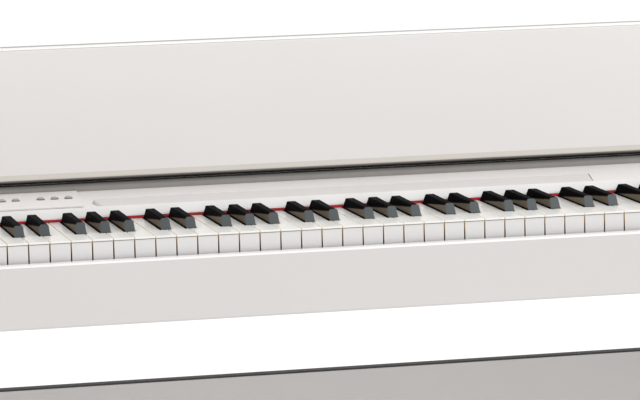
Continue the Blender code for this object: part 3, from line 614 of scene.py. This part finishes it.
def make_white_key(left, right):
    """A white key with its front left corner at the origin and notches this wide at its sides."""
    deselect()
    bpy.ops.mesh.primitive_plane_add(size=1, location=(key_width / 2, key_length / 2, 0))
    bpy.context.object.scale = (key_width, key_length, 1)
    key = settle("white_key")
    edit(key)
    if left:
        cut_at((left, 0, 0), (1, 0, 0))
    if right:
        cut_at((key_width - right, 0, 0), (1, 0, 0))
    cut_at((0, notch_front, 0), (0, 1, 0))
    pick("FACE", lambda face: middle(face).y > notch_front
         and not left < middle(face).x < key_width - right)
    bpy.ops.mesh.delete(type="FACE")
    bpy.ops.mesh.select_all(action="SELECT")
    extrude(z=-PLATE_THICKNESS)
    bpy.ops.mesh.inset(thickness=PLATE_OVERHANG)
    extrude(z=-LIP_SHADOW_HEIGHT)
    extrude(z=key_bottom - BODY_BELOW - key_top + PLATE_THICKNESS + LIP_SHADOW_HEIGHT)
    pick("VERT", lambda point: point.co.z < -PLATE_THICKNESS / 2 and 0 < point.co.y < 2 * PLATE_OVERHANG)
    bpy.ops.transform.translate(value=(0, FRONT_OVERHANG, 0))
    bpy.ops.mesh.select_all(action="SELECT")
    bpy.ops.mesh.normals_make_consistent(inside=False)
    pick("EDGE", at_top)
    bpy.ops.mesh.bevel(offset=PLATE_ROUND, segments=3, affect="EDGES")
    lip_shadow_low = -PLATE_THICKNESS - LIP_SHADOW_HEIGHT
    # The band under the plate is painted shadow, and the front below it is the darker copy of the white, as painted
    # shade.
    give_finish(key, key_white, lambda face: True)
    give_finish(key, key_side, lambda face: abs(face.normal.x) > 0.9
                and middle(face).z < -PLATE_THICKNESS / 2)
    give_finish(key, lip_shadow, lambda face: face.normal.y < -0.9
                and -PLATE_THICKNESS > middle(face).z > lip_shadow_low)
    give_finish(key, key_front_shaded, lambda face: face.normal.y < -0.9 and middle(face).z < lip_shadow_low)
    leave_edit()
    return shade(key, 50)


# %% Setting out the 52 white keys
NOTCH_CLEARANCE = 0.0010
half_gap = black_width / 2 + NOTCH_CLEARANCE - KEY_GAP / 2
stand_for = {}
for index in range(WHITE_KEYS):
    before = BLACK_LEAN.get(letter(index - 1)) if index else None
    after = BLACK_LEAN.get(letter(index)) if index < WHITE_KEYS - 1 else None
    notches = (0 if before is None else half_gap + before, 0 if after is None else half_gap - after)
    if notches not in stand_for:
        stand_for[notches] = make_white_key(*notches)
    name = f"{letter(index)}{octave(index)}"
    at = (keys_left + index * key_pitch + KEY_GAP / 2, key_front, key_top)
    body = key_body(index, "naturals", f"key_{name}")
    place(copy_to(stand_for[notches], f"white_{name}", at), key_white, body, "key_white", body)
for pattern in stand_for.values():
    bpy.data.objects.remove(pattern)
print(WHITE_KEYS, "white keys from", len(stand_for), "patterns")

# %% [markdown]
# ## A black key
# A black key is a stick with a cap. The cap's nose leans back a little and its back end slopes down a lot, so that it
# clears the panel when it is pressed. Its long edges are rounder at the nose than at the back: they get one wide
# bevel, and then the bevel's points at the back are drawn together towards the old corner.

# %% Making one black key
STICK_DROP = 0.0015
STICK_DEPTH = 0.0215
SHOULDER = 0.0003
CREST_WIDTH = 0.0104
NOSE_SLOPE = 0.0068
BACK_SLOPE = 0.0115
NOSE_ROUND = 0.0028
BACK_ROUND = 0.0011
NOSE_EDGE = 0.0006
CAP_CLEARANCE = 0.0015
cap_length = panel_front - CAP_CLEARANCE - black_low.y
crest = black_high.z - key_top
near_crest = crest - 0.0005
ridge = cap_length - BACK_SLOPE
stick_length = black_high.y - black_low.y
black_key = add_box(
    "black_key", (-black_width / 2, 0, -STICK_DEPTH), (black_width / 2, stick_length, -STICK_DROP)
)
edit(black_key)
cut_at((0, cap_length, 0), (0, 1, 0))
pick("FACE", lambda face: face.normal.z > 0.9 and middle(face).y < cap_length)
extrude(z=STICK_DROP + SHOULDER)
extrude(z=crest - SHOULDER)
bpy.ops.transform.resize(value=(CREST_WIDTH / black_width, 1, 1))
pick("VERT", lambda point: point.co.z > near_crest and point.co.y < 0.001)
bpy.ops.transform.translate(value=(0, NOSE_SLOPE, 0))
pick("VERT", lambda point: point.co.z > near_crest and point.co.y > cap_length - 0.001)
bpy.ops.transform.translate(value=(0, -BACK_SLOPE, 0))
pick("EDGE", lambda edge: middle(edge).z > near_crest and abs(middle(edge).x) > 0.002)
bpy.ops.mesh.bevel(offset=NOSE_ROUND, segments=6, affect="EDGES")
for sign in (-1, 1):
    pick("VERT", lambda point: point.co.z > crest / 2 and point.co.y > ridge - 0.0001
         and point.co.x * sign > CREST_WIDTH / 2 - NOSE_ROUND - 0.0002)
    corner = (sign * CREST_WIDTH / 2, ridge, crest)
    bpy.ops.transform.resize(value=(BACK_ROUND / NOSE_ROUND,) * 3, center_override=corner)
pick("EDGE", lambda edge: edge.calc_face_angle(0) > 0.5 and middle(edge).z > SHOULDER
     and any(face.normal.y < -0.6 for face in edge.link_faces))
bpy.ops.mesh.bevel(offset=NOSE_EDGE, segments=2, affect="EDGES")
give_finish(black_key, key_black, lambda face: True)
give_finish(black_key, nose_sheen, lambda face: face.normal.y < -0.6 and middle(face).z > -STICK_DROP)
leave_edit()
shade(black_key, 50)
print("the black key has", len(black_key.data.polygons), "faces")

# %% Setting out the 36 black keys
blacks = 0
for index in range(WHITE_KEYS - 1):
    lean = BLACK_LEAN.get(letter(index))
    if lean is None:
        continue
    name = f"{letter(index)}sharp{octave(index)}"
    at = (keys_left + (index + 1) * key_pitch + lean, black_low.y, key_top)
    body = key_body(index, "sharps", f"key_{name}")
    place(copy_to(black_key, f"black_{name}", at), key_black, body, "key_black", body)
    blacks += 1
bpy.data.objects.remove(black_key)
print(blacks, "black keys")

# %% [markdown]
# ## Felt strip
# A strip of red wool felt hides the slot where the keys pass under the panel. Felt has no crisp edge, so the
# box is cut into many short lengths and pushed in and out a fraction of a millimetre by a cloud texture.

# %% Felt strip
FELT_PIECES = 240
FELT_ROUND = 0.0006
FELT_FUZZ = 0.0004
felt = add_box("felt", felt_low, felt_high)
edit(felt)
pick("EDGE", lambda edge: abs(edge.verts[0].co.x - edge.verts[1].co.x) > 0.1)
bpy.ops.mesh.subdivide(number_cuts=FELT_PIECES)
pick("EDGE", lambda edge: edge.calc_face_angle(0) > 1 and middle(edge).y < felt_low.y + 0.0001)
bpy.ops.mesh.bevel(offset=FELT_ROUND, segments=2, affect="EDGES")
leave_edit()
clouds = bpy.data.textures.new("felt_clouds", "CLOUDS")
clouds.noise_scale = 0.006
apply_modifier(felt, "DISPLACE", texture=clouds, strength=FELT_FUZZ, mid_level=0.9)
place(shade(felt, 80), red_felt, ROOT, "red_felt", "felt_strip")
print("felt strip", round((felt_high.x - felt_low.x) * 1000), "mm long")

# %% [markdown]
# ## Boards and mouldings of the cabinet
# The boards are already the right shape, down to their holes and grooves. What a solid lacks is the small round
# on each edge that catches the light. So each is copied, its loose triangles are merged, and a bevel rounds
# whatever is sharp. The sizes differ: a sanded board is rounder than a folded plate.

# %% Rounding the boards
BOARDS = (
    ("front_rail", "apron", 0.0008, apron_shaded_lacquer),
    ("side_arm_left", "arm_left", 0.0015, lacquer),
    ("side_arm_right", "arm_right", 0.0015, lacquer),
    ("key_block_left", "cheek_left", 0.0015, lacquer),
    ("key_block_right", "cheek_right", 0.0015, lacquer),
    ("bottom_board", "underboard", 0.0008, lacquer),
    ("top_panel", "panel", 0.0006, moulding),
    ("control_plate", "plate", 0.0004, moulding),
    ("lid_hinge_rail", "lid_rail", 0.0008, rail_grey),
    ("rear_cover", "back_cover", 0.0005, moulding),
    ("stand_side_left", "leg_left", 0.0012, lacquer),
    ("stand_side_right", "leg_right", 0.0012, lacquer),
    ("pedal_rail", "pedal_board", 0.0012, lacquer),
    ("jack_box", "socket_box", 0.0010, moulding),
)
slots = {part["node"]: part["material_slot"] for part in frame["record"]["subparts"]}
for node, name, width, finish in BOARDS:
    piece = refine(node, name, width)
    place(piece, finish, ROOT, slots[node], node)
    print(name, len(piece.data.polygons), "faces")

# %% Painted light: a brighter copy of the white on the top of the front rail and the front of the panel
for name, lit in (
    ("apron", lambda face: face.normal.z > 0.35),
    ("panel", lambda face: face.normal.y < -0.5 and middle(face).z > key_top),
):
    piece = bpy.data.objects[name]
    edit(piece)
    give_finish(piece, lit_white_copy, lit)
    leave_edit()

# %% [markdown]
# ## Mat in the music groove
# The groove in the panel keeps a book from sliding. A thin mat lies in it, a shade darker than the panel, with a
# fine gap all round that draws the groove's outline. The groove's own floor is that outline, so it is copied off
# the panel as a face, inset by the gap and extruded up.

# %% Groove mat
MAT_LEFT = -0.277
MAT_SHADE_LENGTH = 0.014


# Painted shadow: the mat is painted darker towards its left end, as shade from the groove's rounded wall.
def shaded_left_end(paint, colour):
    along = paint.node("ShaderNodeSeparateXYZ", inputs={"Vector": paint.place}, output="X")
    in_from_end = paint.ramp((along - MAT_LEFT) / MAT_SHADE_LENGTH, (0.35, grey(0.0)), (1.0, grey(1.0)))
    return paint.mix(in_from_end, (0.34, 0.30, 0.295, 1), colour)


mat_white = sprayed("groove_mat", 0.655, 0.036, 0.55, 0.30, shaded_left_end)
MAT_GAP = 0.0009
MAT_THICKNESS = 0.0020
GROOVE_DEPTH = 0.0025
panel = bpy.data.objects["panel"]
groove_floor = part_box("top_panel")[1].z - GROOVE_DEPTH
edit(panel)
pick("FACE", lambda face: face.normal.z > 0.9 and abs(middle(face).z - groove_floor) < 0.0003
     and face.calc_area() > 0.01)
bpy.ops.mesh.duplicate()
bpy.ops.mesh.separate(type="SELECTED")
leave_edit()
mat = next(piece for piece in bpy.context.selected_objects if piece != panel)
mat.name = "groove_mat_strip"
edit(mat)
bpy.ops.mesh.inset(thickness=MAT_GAP)
bpy.ops.mesh.select_all(action="INVERT")
bpy.ops.mesh.delete(type="FACE")
bpy.ops.mesh.select_all(action="SELECT")
extrude(z=MAT_THICKNESS)
leave_edit()
mat.data.materials.clear()
place(round_edges(mat, 0.0003, 2), mat_white, ROOT, "white_plastic")
print("the mat is", round(mat.dimensions.x * 1000), "by", round(mat.dimensions.y * 1000), "mm")

# %% [markdown]
# ## The lid
# The lid has two leaves. Its rear leaf stands up and shows its face, and its lower edge is a full round that rolls
# on the grey rail. The front leaf is folded flat behind it. Both are boards, so they are refined as above. The
# hinge between them already has the right shape, so it stays as it is and only gets a finish. The same goes for
# the pins, the chassis and the other works inside.

# %% The two leaves
for node, name, body in (
    ("lid_rear_leaf", "leaf_rear", "lid_rear"),
    ("lid_front_leaf", "leaf_front", "lid_front"),
):
    piece = refine(node, name, 0.0007)
    if body == "lid_rear":
        edit(piece)
        give_finish(piece, leaf_lacquer, lambda face: True)
        give_finish(piece, shaded_edge_strip, lambda face: middle(face).z < rail_top + STRIP_TOP)
        leave_edit()
    place(piece, lacquer, body, slots[node], node)
    print(name, len(piece.data.polygons), "faces")

# %% Hinge, white below and bare steel along its top
hinge_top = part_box("lid_hinge")[1].z
BARE_STEEL = 0.0014
hinge = Finish("painted_hinge", IOR=1.5)
rubbed_spots = hinge.noise(160, 3)
bare = hinge.ramp(
    (hinge.height() - hinge_top) / BARE_STEEL + 1.5 + (rubbed_spots - 0.5) * 0.1,
    (0.44, grey(0.0)), (0.56, grey(1.0)),
)
hinge_finish = hinge.set(
    Base_Color=hinge.mix(bare, (0.93, 0.92, 0.90, 1), (0.40, 0.40, 0.40, 1)),
    Metallic=bare * 0.5,
    Roughness=0.35 + rubbed_spots * 0.2,
)
print("the hinge shows bare steel over its top", BARE_STEEL * 1000, "mm")

# %% Finishes for the solids that keep their own shape
def refinish(node, finish):
    """Puts a finish on a solid that is shown as it is."""
    for slot in frame["nodes"][node].material_slots:
        slot.material = finish


for node, finish in (
    ("lid_hinge", hinge_finish),
    ("lid_pivot_pin_left", steel),
    ("lid_pivot_pin_right", steel),
    ("key_chassis", black_plastic),
    ("circuit_board", board_green),
    ("speaker_left", black_plastic),
    ("speaker_right", black_plastic),
    ("power_inlet", black_plastic),
    ("pedal_shaft", steel),
):
    refinish(node, finish)

# %% [markdown]
# ## Push buttons
# Six small buttons stand in two groups of three. Each is a shallow dome on a straight neck. A rod is inset at its
# top and the rings are raised step by step, which gives a dome with real curvature. A thin dark collar, a torus,
# rings its foot and belongs to the plate.

# %% One button, then six
def make_dome(name, low, high, rise, rings=4):
    """A rod whose top is a shallow dome this high."""
    centre = (low + high) / 2
    radius = (high.x - low.x) / 2
    neck_top = high.z - rise
    rod = add_rod(name, (centre.x, centre.y, (low.z + neck_top) / 2), radius, neck_top - low.z, sides=40)
    edit(rod)
    pick("FACE", lambda face: face.normal.z > 0.9)
    for ring in range(rings):
        inner, outer = (cos(pi / 2 * (ring + step) / (rings + 0.6)) for step in (1, 0))
        lift = rise * (sin(pi / 2 * (ring + 1) / rings) - sin(pi / 2 * ring / rings))
        bpy.ops.mesh.inset(thickness=radius * (outer - inner))
        bpy.ops.transform.translate(value=(0, 0, lift))
    leave_edit()
    return shade(rod, 60)


COLLAR = 0.0007
BUTTON_RISE = 0.0021
for number in range(1, 7):
    name = f"button_{number}"
    low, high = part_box(name)
    piece = make_dome(f"push_{number}", low, high, rise=BUTTON_RISE)
    place(piece, taupe, name, "button_taupe", name)
    deselect()
    bpy.ops.mesh.primitive_torus_add(
        major_radius=(high.x - low.x) / 2 + COLLAR * 0.3, minor_radius=COLLAR / 2, major_segments=40,
        minor_segments=8, location=((low.x + high.x) / 2, (low.y + high.y) / 2, plate_top + 0.0001),
    )
    place(shade(settle(f"collar_{number}")), collar_taupe, ROOT, "button_taupe")

# %% [markdown]
# ## The stand
# Each leg is a board on a foot. The back board is a light grey, darker than the cabinet's white as painted shade for
# its place under the cabinet, with a dark band glued along its top edge. Rubber pads lift each foot off the floor.
# The foot is refined from its solid and trimmed at the bottom to leave room for the pads.

# %% Feet and their rubber pads
PAD_HEIGHT = 0.002
PAD_RADIUS = 0.014
PAD_FROM_END = 0.030
for side_name in ("left", "right"):
    node = f"stand_foot_{side_name}"
    low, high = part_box(node)
    foot = refine(node, f"foot_{side_name}", 0.0015)
    edit(foot)
    bpy.ops.mesh.bisect(plane_co=(0, 0, PAD_HEIGHT), plane_no=(0, 0, 1), clear_inner=True, use_fill=True)
    leave_edit()
    place(shade(foot), lacquer, ROOT, slots[node], node)
    for end, y in (("front", low.y + PAD_FROM_END), ("back", high.y - PAD_FROM_END)):
        at = ((low.x + high.x) / 2, y, PAD_HEIGHT / 2)
        pad = add_rod(f"pad_{side_name}_{end}", at, PAD_RADIUS, PAD_HEIGHT)
        place(round_edges(pad, 0.0005, 2), rubber, ROOT, "black_plastic")

# %% Back board with its dark top band
BAND = 0.0020
low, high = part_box("stand_back_board")
board = add_box("back_board", low, (high.x, high.y, high.z - BAND))
# Painted shade: the back board's grey is darker than the white because it stands under the cabinet.
shaded_grey_board = sprayed("shaded_grey_board", 0.53, 0.026, 0.42, 0.1)
place(round_edges(board, 0.0006, 2), shaded_grey_board, ROOT, "board_grey", "stand_back_board")
band = add_box("back_board_band", (low.x, low.y, high.z - BAND), high)
place(round_edges(band, 0.0004, 2), dark_edge, ROOT, "board_grey")
print("back board", [round(side * 1000) for side in high - low], "mm")

# %% [markdown]
# ## Screws and cam covers
# The back cover is held by cross-head screws, and the joints of the stand hide under small plastic covers. Both
# are many and tiny, so each is one simple pattern of a few dozen faces: the screw is a rod with a raised
# rim, made by insetting, and a cross cut into its head by a boolean difference.

# %% One screw, lying along Y with its head towards +Y
SCREW_RADIUS = 0.0032
SCREW_HEIGHT = 0.0016
SCREW_SUNK = 0.0004
RIM_WIDTH = 0.0007
RIM_RISE = 0.0004
CROWN_INSET = 0.0006
CROSS_WIDTH = 0.0006
CROSS_REACH = 0.0019
CROSS_FOOT = 0.0004
CROSS_TOP = 0.004


def make_screw():
    head = add_rod("screw", (0, SCREW_HEIGHT / 2 - SCREW_SUNK, 0), SCREW_RADIUS, SCREW_HEIGHT, "Y", 20)
    edit(head)
    pick("FACE", lambda face: face.normal.y > 0.9)
    bpy.ops.mesh.inset(thickness=RIM_WIDTH)
    bpy.ops.transform.translate(value=(0, RIM_RISE, 0))
    bpy.ops.mesh.inset(thickness=CROWN_INSET)
    leave_edit()
    for x, z in ((CROSS_REACH, CROSS_WIDTH / 2), (CROSS_WIDTH / 2, CROSS_REACH)):
        cutter = add_box("cross", (-x, CROSS_FOOT, -z), (x, CROSS_TOP, z))
        apply_modifier(head, "BOOLEAN", object=cutter, operation="DIFFERENCE", solver="EXACT")
        bpy.data.objects.remove(cutter)
    return shade(head, 35)


SCREWS_IN_ROW = 7
COVER_MARGIN = 0.012
INLET_ROOM = 0.02
screw = make_screw()
low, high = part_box("rear_cover")
count = 0
for step in range(SCREWS_IN_ROW):
    x = low.x + COVER_MARGIN + (high.x - low.x - 2 * COVER_MARGIN) * step / (SCREWS_IN_ROW - 1)
    for z in (low.z + COVER_MARGIN, high.z - COVER_MARGIN):
        if abs(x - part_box("power_inlet")[0].x) < INLET_ROOM:
            continue
        count += 1
        piece = copy_to(screw, f"cover_screw_{count}", (x, high.y, z))
        place(piece, steel, ROOT, "steel")
bpy.data.objects.remove(screw)
print(count, "screws hold the back cover")

# %% Cam covers on the insides of the legs
CAM_RADIUS = 0.009
CAM_HEIGHT = 0.0014
CAM_FROM_BOARD = 0.022
CAM_FROM_EDGE = 0.045
cam = add_rod("cam", (0, 0, 0), CAM_RADIUS, CAM_HEIGHT, "X", 28)
round_edges(cam, 0.0005, 2)
board_low, board_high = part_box("stand_back_board")
rail_low, rail_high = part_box("pedal_rail")
cams = 0
for side_name, sign in (("left", 1), ("right", -1)):
    leg_low, leg_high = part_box(f"stand_side_{side_name}")
    face = leg_high.x if sign > 0 else leg_low.x
    for y, z in (
        (board_low.y - CAM_FROM_BOARD, board_high.z - CAM_FROM_EDGE),
        (board_low.y - CAM_FROM_BOARD, board_low.z + CAM_FROM_EDGE),
        (rail_low.y - CAM_FROM_BOARD, (rail_low.z + rail_high.z) / 2),
    ):
        cams += 1
        piece = copy_to(cam, f"cam_cover_{cams}", (face + sign * CAM_HEIGHT / 2, y, z))
        place(piece, moulding, ROOT, "white_plastic")
bpy.data.objects.remove(cam)
print(cams, "cam covers")

# %% [markdown]
# ## Pedals
# Three brass pedals come out of a black box and turn on one steel shaft. Their edges are heavily rounded by
# casting and polishing, so they get a wide bevel. A ribbed knob under the rail screws down to the floor
# to stop the pedals flexing it.

# %% Pedal box, pedals and the ribbed knob
place(refine("pedal_box", "pedal_housing", 0.0015), black_plastic, ROOT, slots["pedal_box"], "pedal_box")
for kind in ("soft", "sostenuto", "damper"):
    name = f"pedal_{kind}"
    place(refine(name, f"brass_{kind}", 0.0016, 4, 40), brass, name, "brass", name)

RIBS = 24
RIB_RADIUS = 0.0011
RIB_LENGTH = 0.006
RIB_SUNK = 0.0009
RIB_HEIGHT = 0.006
low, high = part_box("pedal_adjuster")
knob = refine("pedal_adjuster", "floor_knob", 0.0008)
knob_middle = (low + high) / 2
ring_radius = (high.x - low.x) / 2 - RIB_SUNK
rib = add_rod("rib", (0, 0, 0), RIB_RADIUS, RIB_LENGTH, sides=8)
ribs = []
for number in range(RIBS):
    angle = 2 * pi * number / RIBS
    at = (knob_middle.x + ring_radius * cos(angle), knob_middle.y + ring_radius * sin(angle), low.z + RIB_HEIGHT)
    ribs.append(copy_to(rib, f"rib_{number}", at))
bpy.data.objects.remove(rib)
ribs = join("knob_ribs", ribs)
place(knob, black_plastic, "pedal_adjuster", slots["pedal_adjuster"], "pedal_adjuster")
place(shade(ribs, 40), black_plastic, "pedal_adjuster", slots["pedal_adjuster"])

# %% [markdown]
# ## Sockets and speaker guards
# Two headphone sockets sit in a small box under the left end. Each has a steel nut round its hole. The speakers
# fire down through round openings, which a guard of slats covers. Neither shows from the front, but the
# instrument is turned over when it is put together.

# %% Socket nuts
JACK_HOLE = 0.0034
JACKS_APART = 0.030
NUT_REACH = 0.0024
NUT_HEIGHT = 0.0016
NUT_WALL = 0.0022
NUT_AHEAD = 0.0006
low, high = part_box("jack_box")
centre = (low + high) / 2
for number, x in enumerate((centre.x - JACKS_APART / 2, centre.x + JACKS_APART / 2), 1):
    deselect()
    bpy.ops.mesh.primitive_cylinder_add(
        vertices=24, radius=JACK_HOLE + NUT_REACH, depth=NUT_HEIGHT, end_fill_type="NOTHING",
        location=(x, low.y - NUT_AHEAD, centre.z), rotation=(-pi / 2, 0, 0),
    )
    nut = settle(f"socket_nut_{number}")
    apply_modifier(nut, "SOLIDIFY", thickness=NUT_WALL, offset=-1)
    place(round_edges(nut, 0.0004, 2), steel, ROOT, "steel")

# %% Speaker guards
GUARD_RADIUS = 0.0440
GUARD_WIDTH = 0.0035
GUARD_THICKNESS = 0.0016
SLATS_EACH_WAY = 5
SLAT_PITCH = 0.0078
GUARD_LIFT = 0.0012
for side_name in ("left", "right"):
    low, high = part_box(f"speaker_{side_name}")
    centre = (low + high) / 2
    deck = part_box("bottom_board")[0].z + GUARD_LIFT
    parts = []
    for step in range(-SLATS_EACH_WAY, SLATS_EACH_WAY + 1):
        y = step * SLAT_PITCH
        reach = (GUARD_RADIUS ** 2 - y ** 2) ** 0.5
        parts.append(add_box(
            f"slat_{step}", (centre.x - reach, centre.y + y - GUARD_WIDTH / 2, deck),
            (centre.x + reach, centre.y + y + GUARD_WIDTH / 2, deck + GUARD_THICKNESS),
        ))
    guard = round_edges(join(f"speaker_guard_{side_name}", parts), 0.0005, 2)
    place(guard, black_plastic, ROOT, "black_plastic")
print("guards have", len(guard.data.polygons), "faces each")

# %% [markdown]
# ## Floor, light and camera
# The room is a plain pale floor under an even white sky. One large soft lamp hangs in front and above, for the
# sheen on the noses of the black keys, and a weaker one stands behind. A long lens keeps the keyboard's lines
# nearly parallel.

# %% Pale floor
FLOOR_SIZE = 90
FLOOR_DROP = 0.0005
deselect()
bpy.ops.mesh.primitive_plane_add(size=FLOOR_SIZE, location=(0, 0, -FLOOR_DROP))
floor = settle("floor")
ground = Finish("pale_floor", Roughness=0.75, Emission_Color=(1, 1, 1, 1), Emission_Strength=0.16)
smudge = ground.noise(0.9, 3)
floor.data.materials.append(ground.set(
    Base_Color=ground.mix(smudge, (0.86, 0.86, 0.86, 1), (0.88, 0.88, 0.88, 1)),
    Normal=ground.bump(ground.noise(60, 2), 0.02, 0.001),
))

# %% Sky and lamps
world = bpy.data.worlds.new("studio")
bpy.context.scene.world = world
world.use_nodes = True
sky = world.node_tree.nodes["Background"]
sky.inputs["Color"].default_value = (1.0, 0.995, 0.985, 1)
sky.inputs["Strength"].default_value = 1.0


def add_lamp(name, at, aim, width, height, radiance, colour):
    """A rectangular lamp, given by how bright its face looks."""
    lamp = bpy.data.lights.new(name, "AREA")
    lamp.shape = "RECTANGLE"
    lamp.size, lamp.size_y = width, height
    lamp.energy = radiance * pi * width * height
    lamp.color = colour
    stand = bpy.data.objects.new(name, lamp)
    bpy.context.scene.collection.objects.link(stand)
    stand.location = at
    stand.rotation_euler = (Vector(aim) - Vector(at)).to_track_quat("-Z", "Y").to_euler()
    return stand


add_lamp(
    "front_softbox", at=(2.4, -2.4, 3.4), aim=(0.2, 0, 0.75), width=3.2, height=2.0, radiance=2.2,
    colour=(0.97, 0.99, 1.0),
)
add_lamp(
    "back_softbox", at=(1.5, 3.2, 3.0), aim=(0, 0, 0.6), width=2.0, height=1.4, radiance=0.8,
    colour=(1.0, 0.97, 0.93),
)

# %% Camera
EYE = Vector((-0.987, -4.0307, 1.298))
YAW, PITCH, ROLL = 0.2378, 0.1322, -0.0204
LENS = 203.47
ahead = Vector((sin(YAW) * cos(PITCH), cos(YAW) * cos(PITCH), -sin(PITCH)))
right = Vector((cos(YAW), -sin(YAW), 0))
above = right.cross(ahead)
tilted_right = right * cos(ROLL) + above * sin(ROLL)
tilted_up = above * cos(ROLL) - right * sin(ROLL)
camera = bpy.data.objects.new("camera", bpy.data.cameras.new("camera"))
bpy.context.scene.collection.objects.link(camera)
camera.data.lens = LENS
turned = Matrix((tilted_right, tilted_up, -ahead)).transposed().to_4x4()
camera.matrix_world = Matrix.Translation(EYE) @ turned
bpy.context.scene.camera = camera
bpy.context.scene.view_settings.view_transform = "Standard"
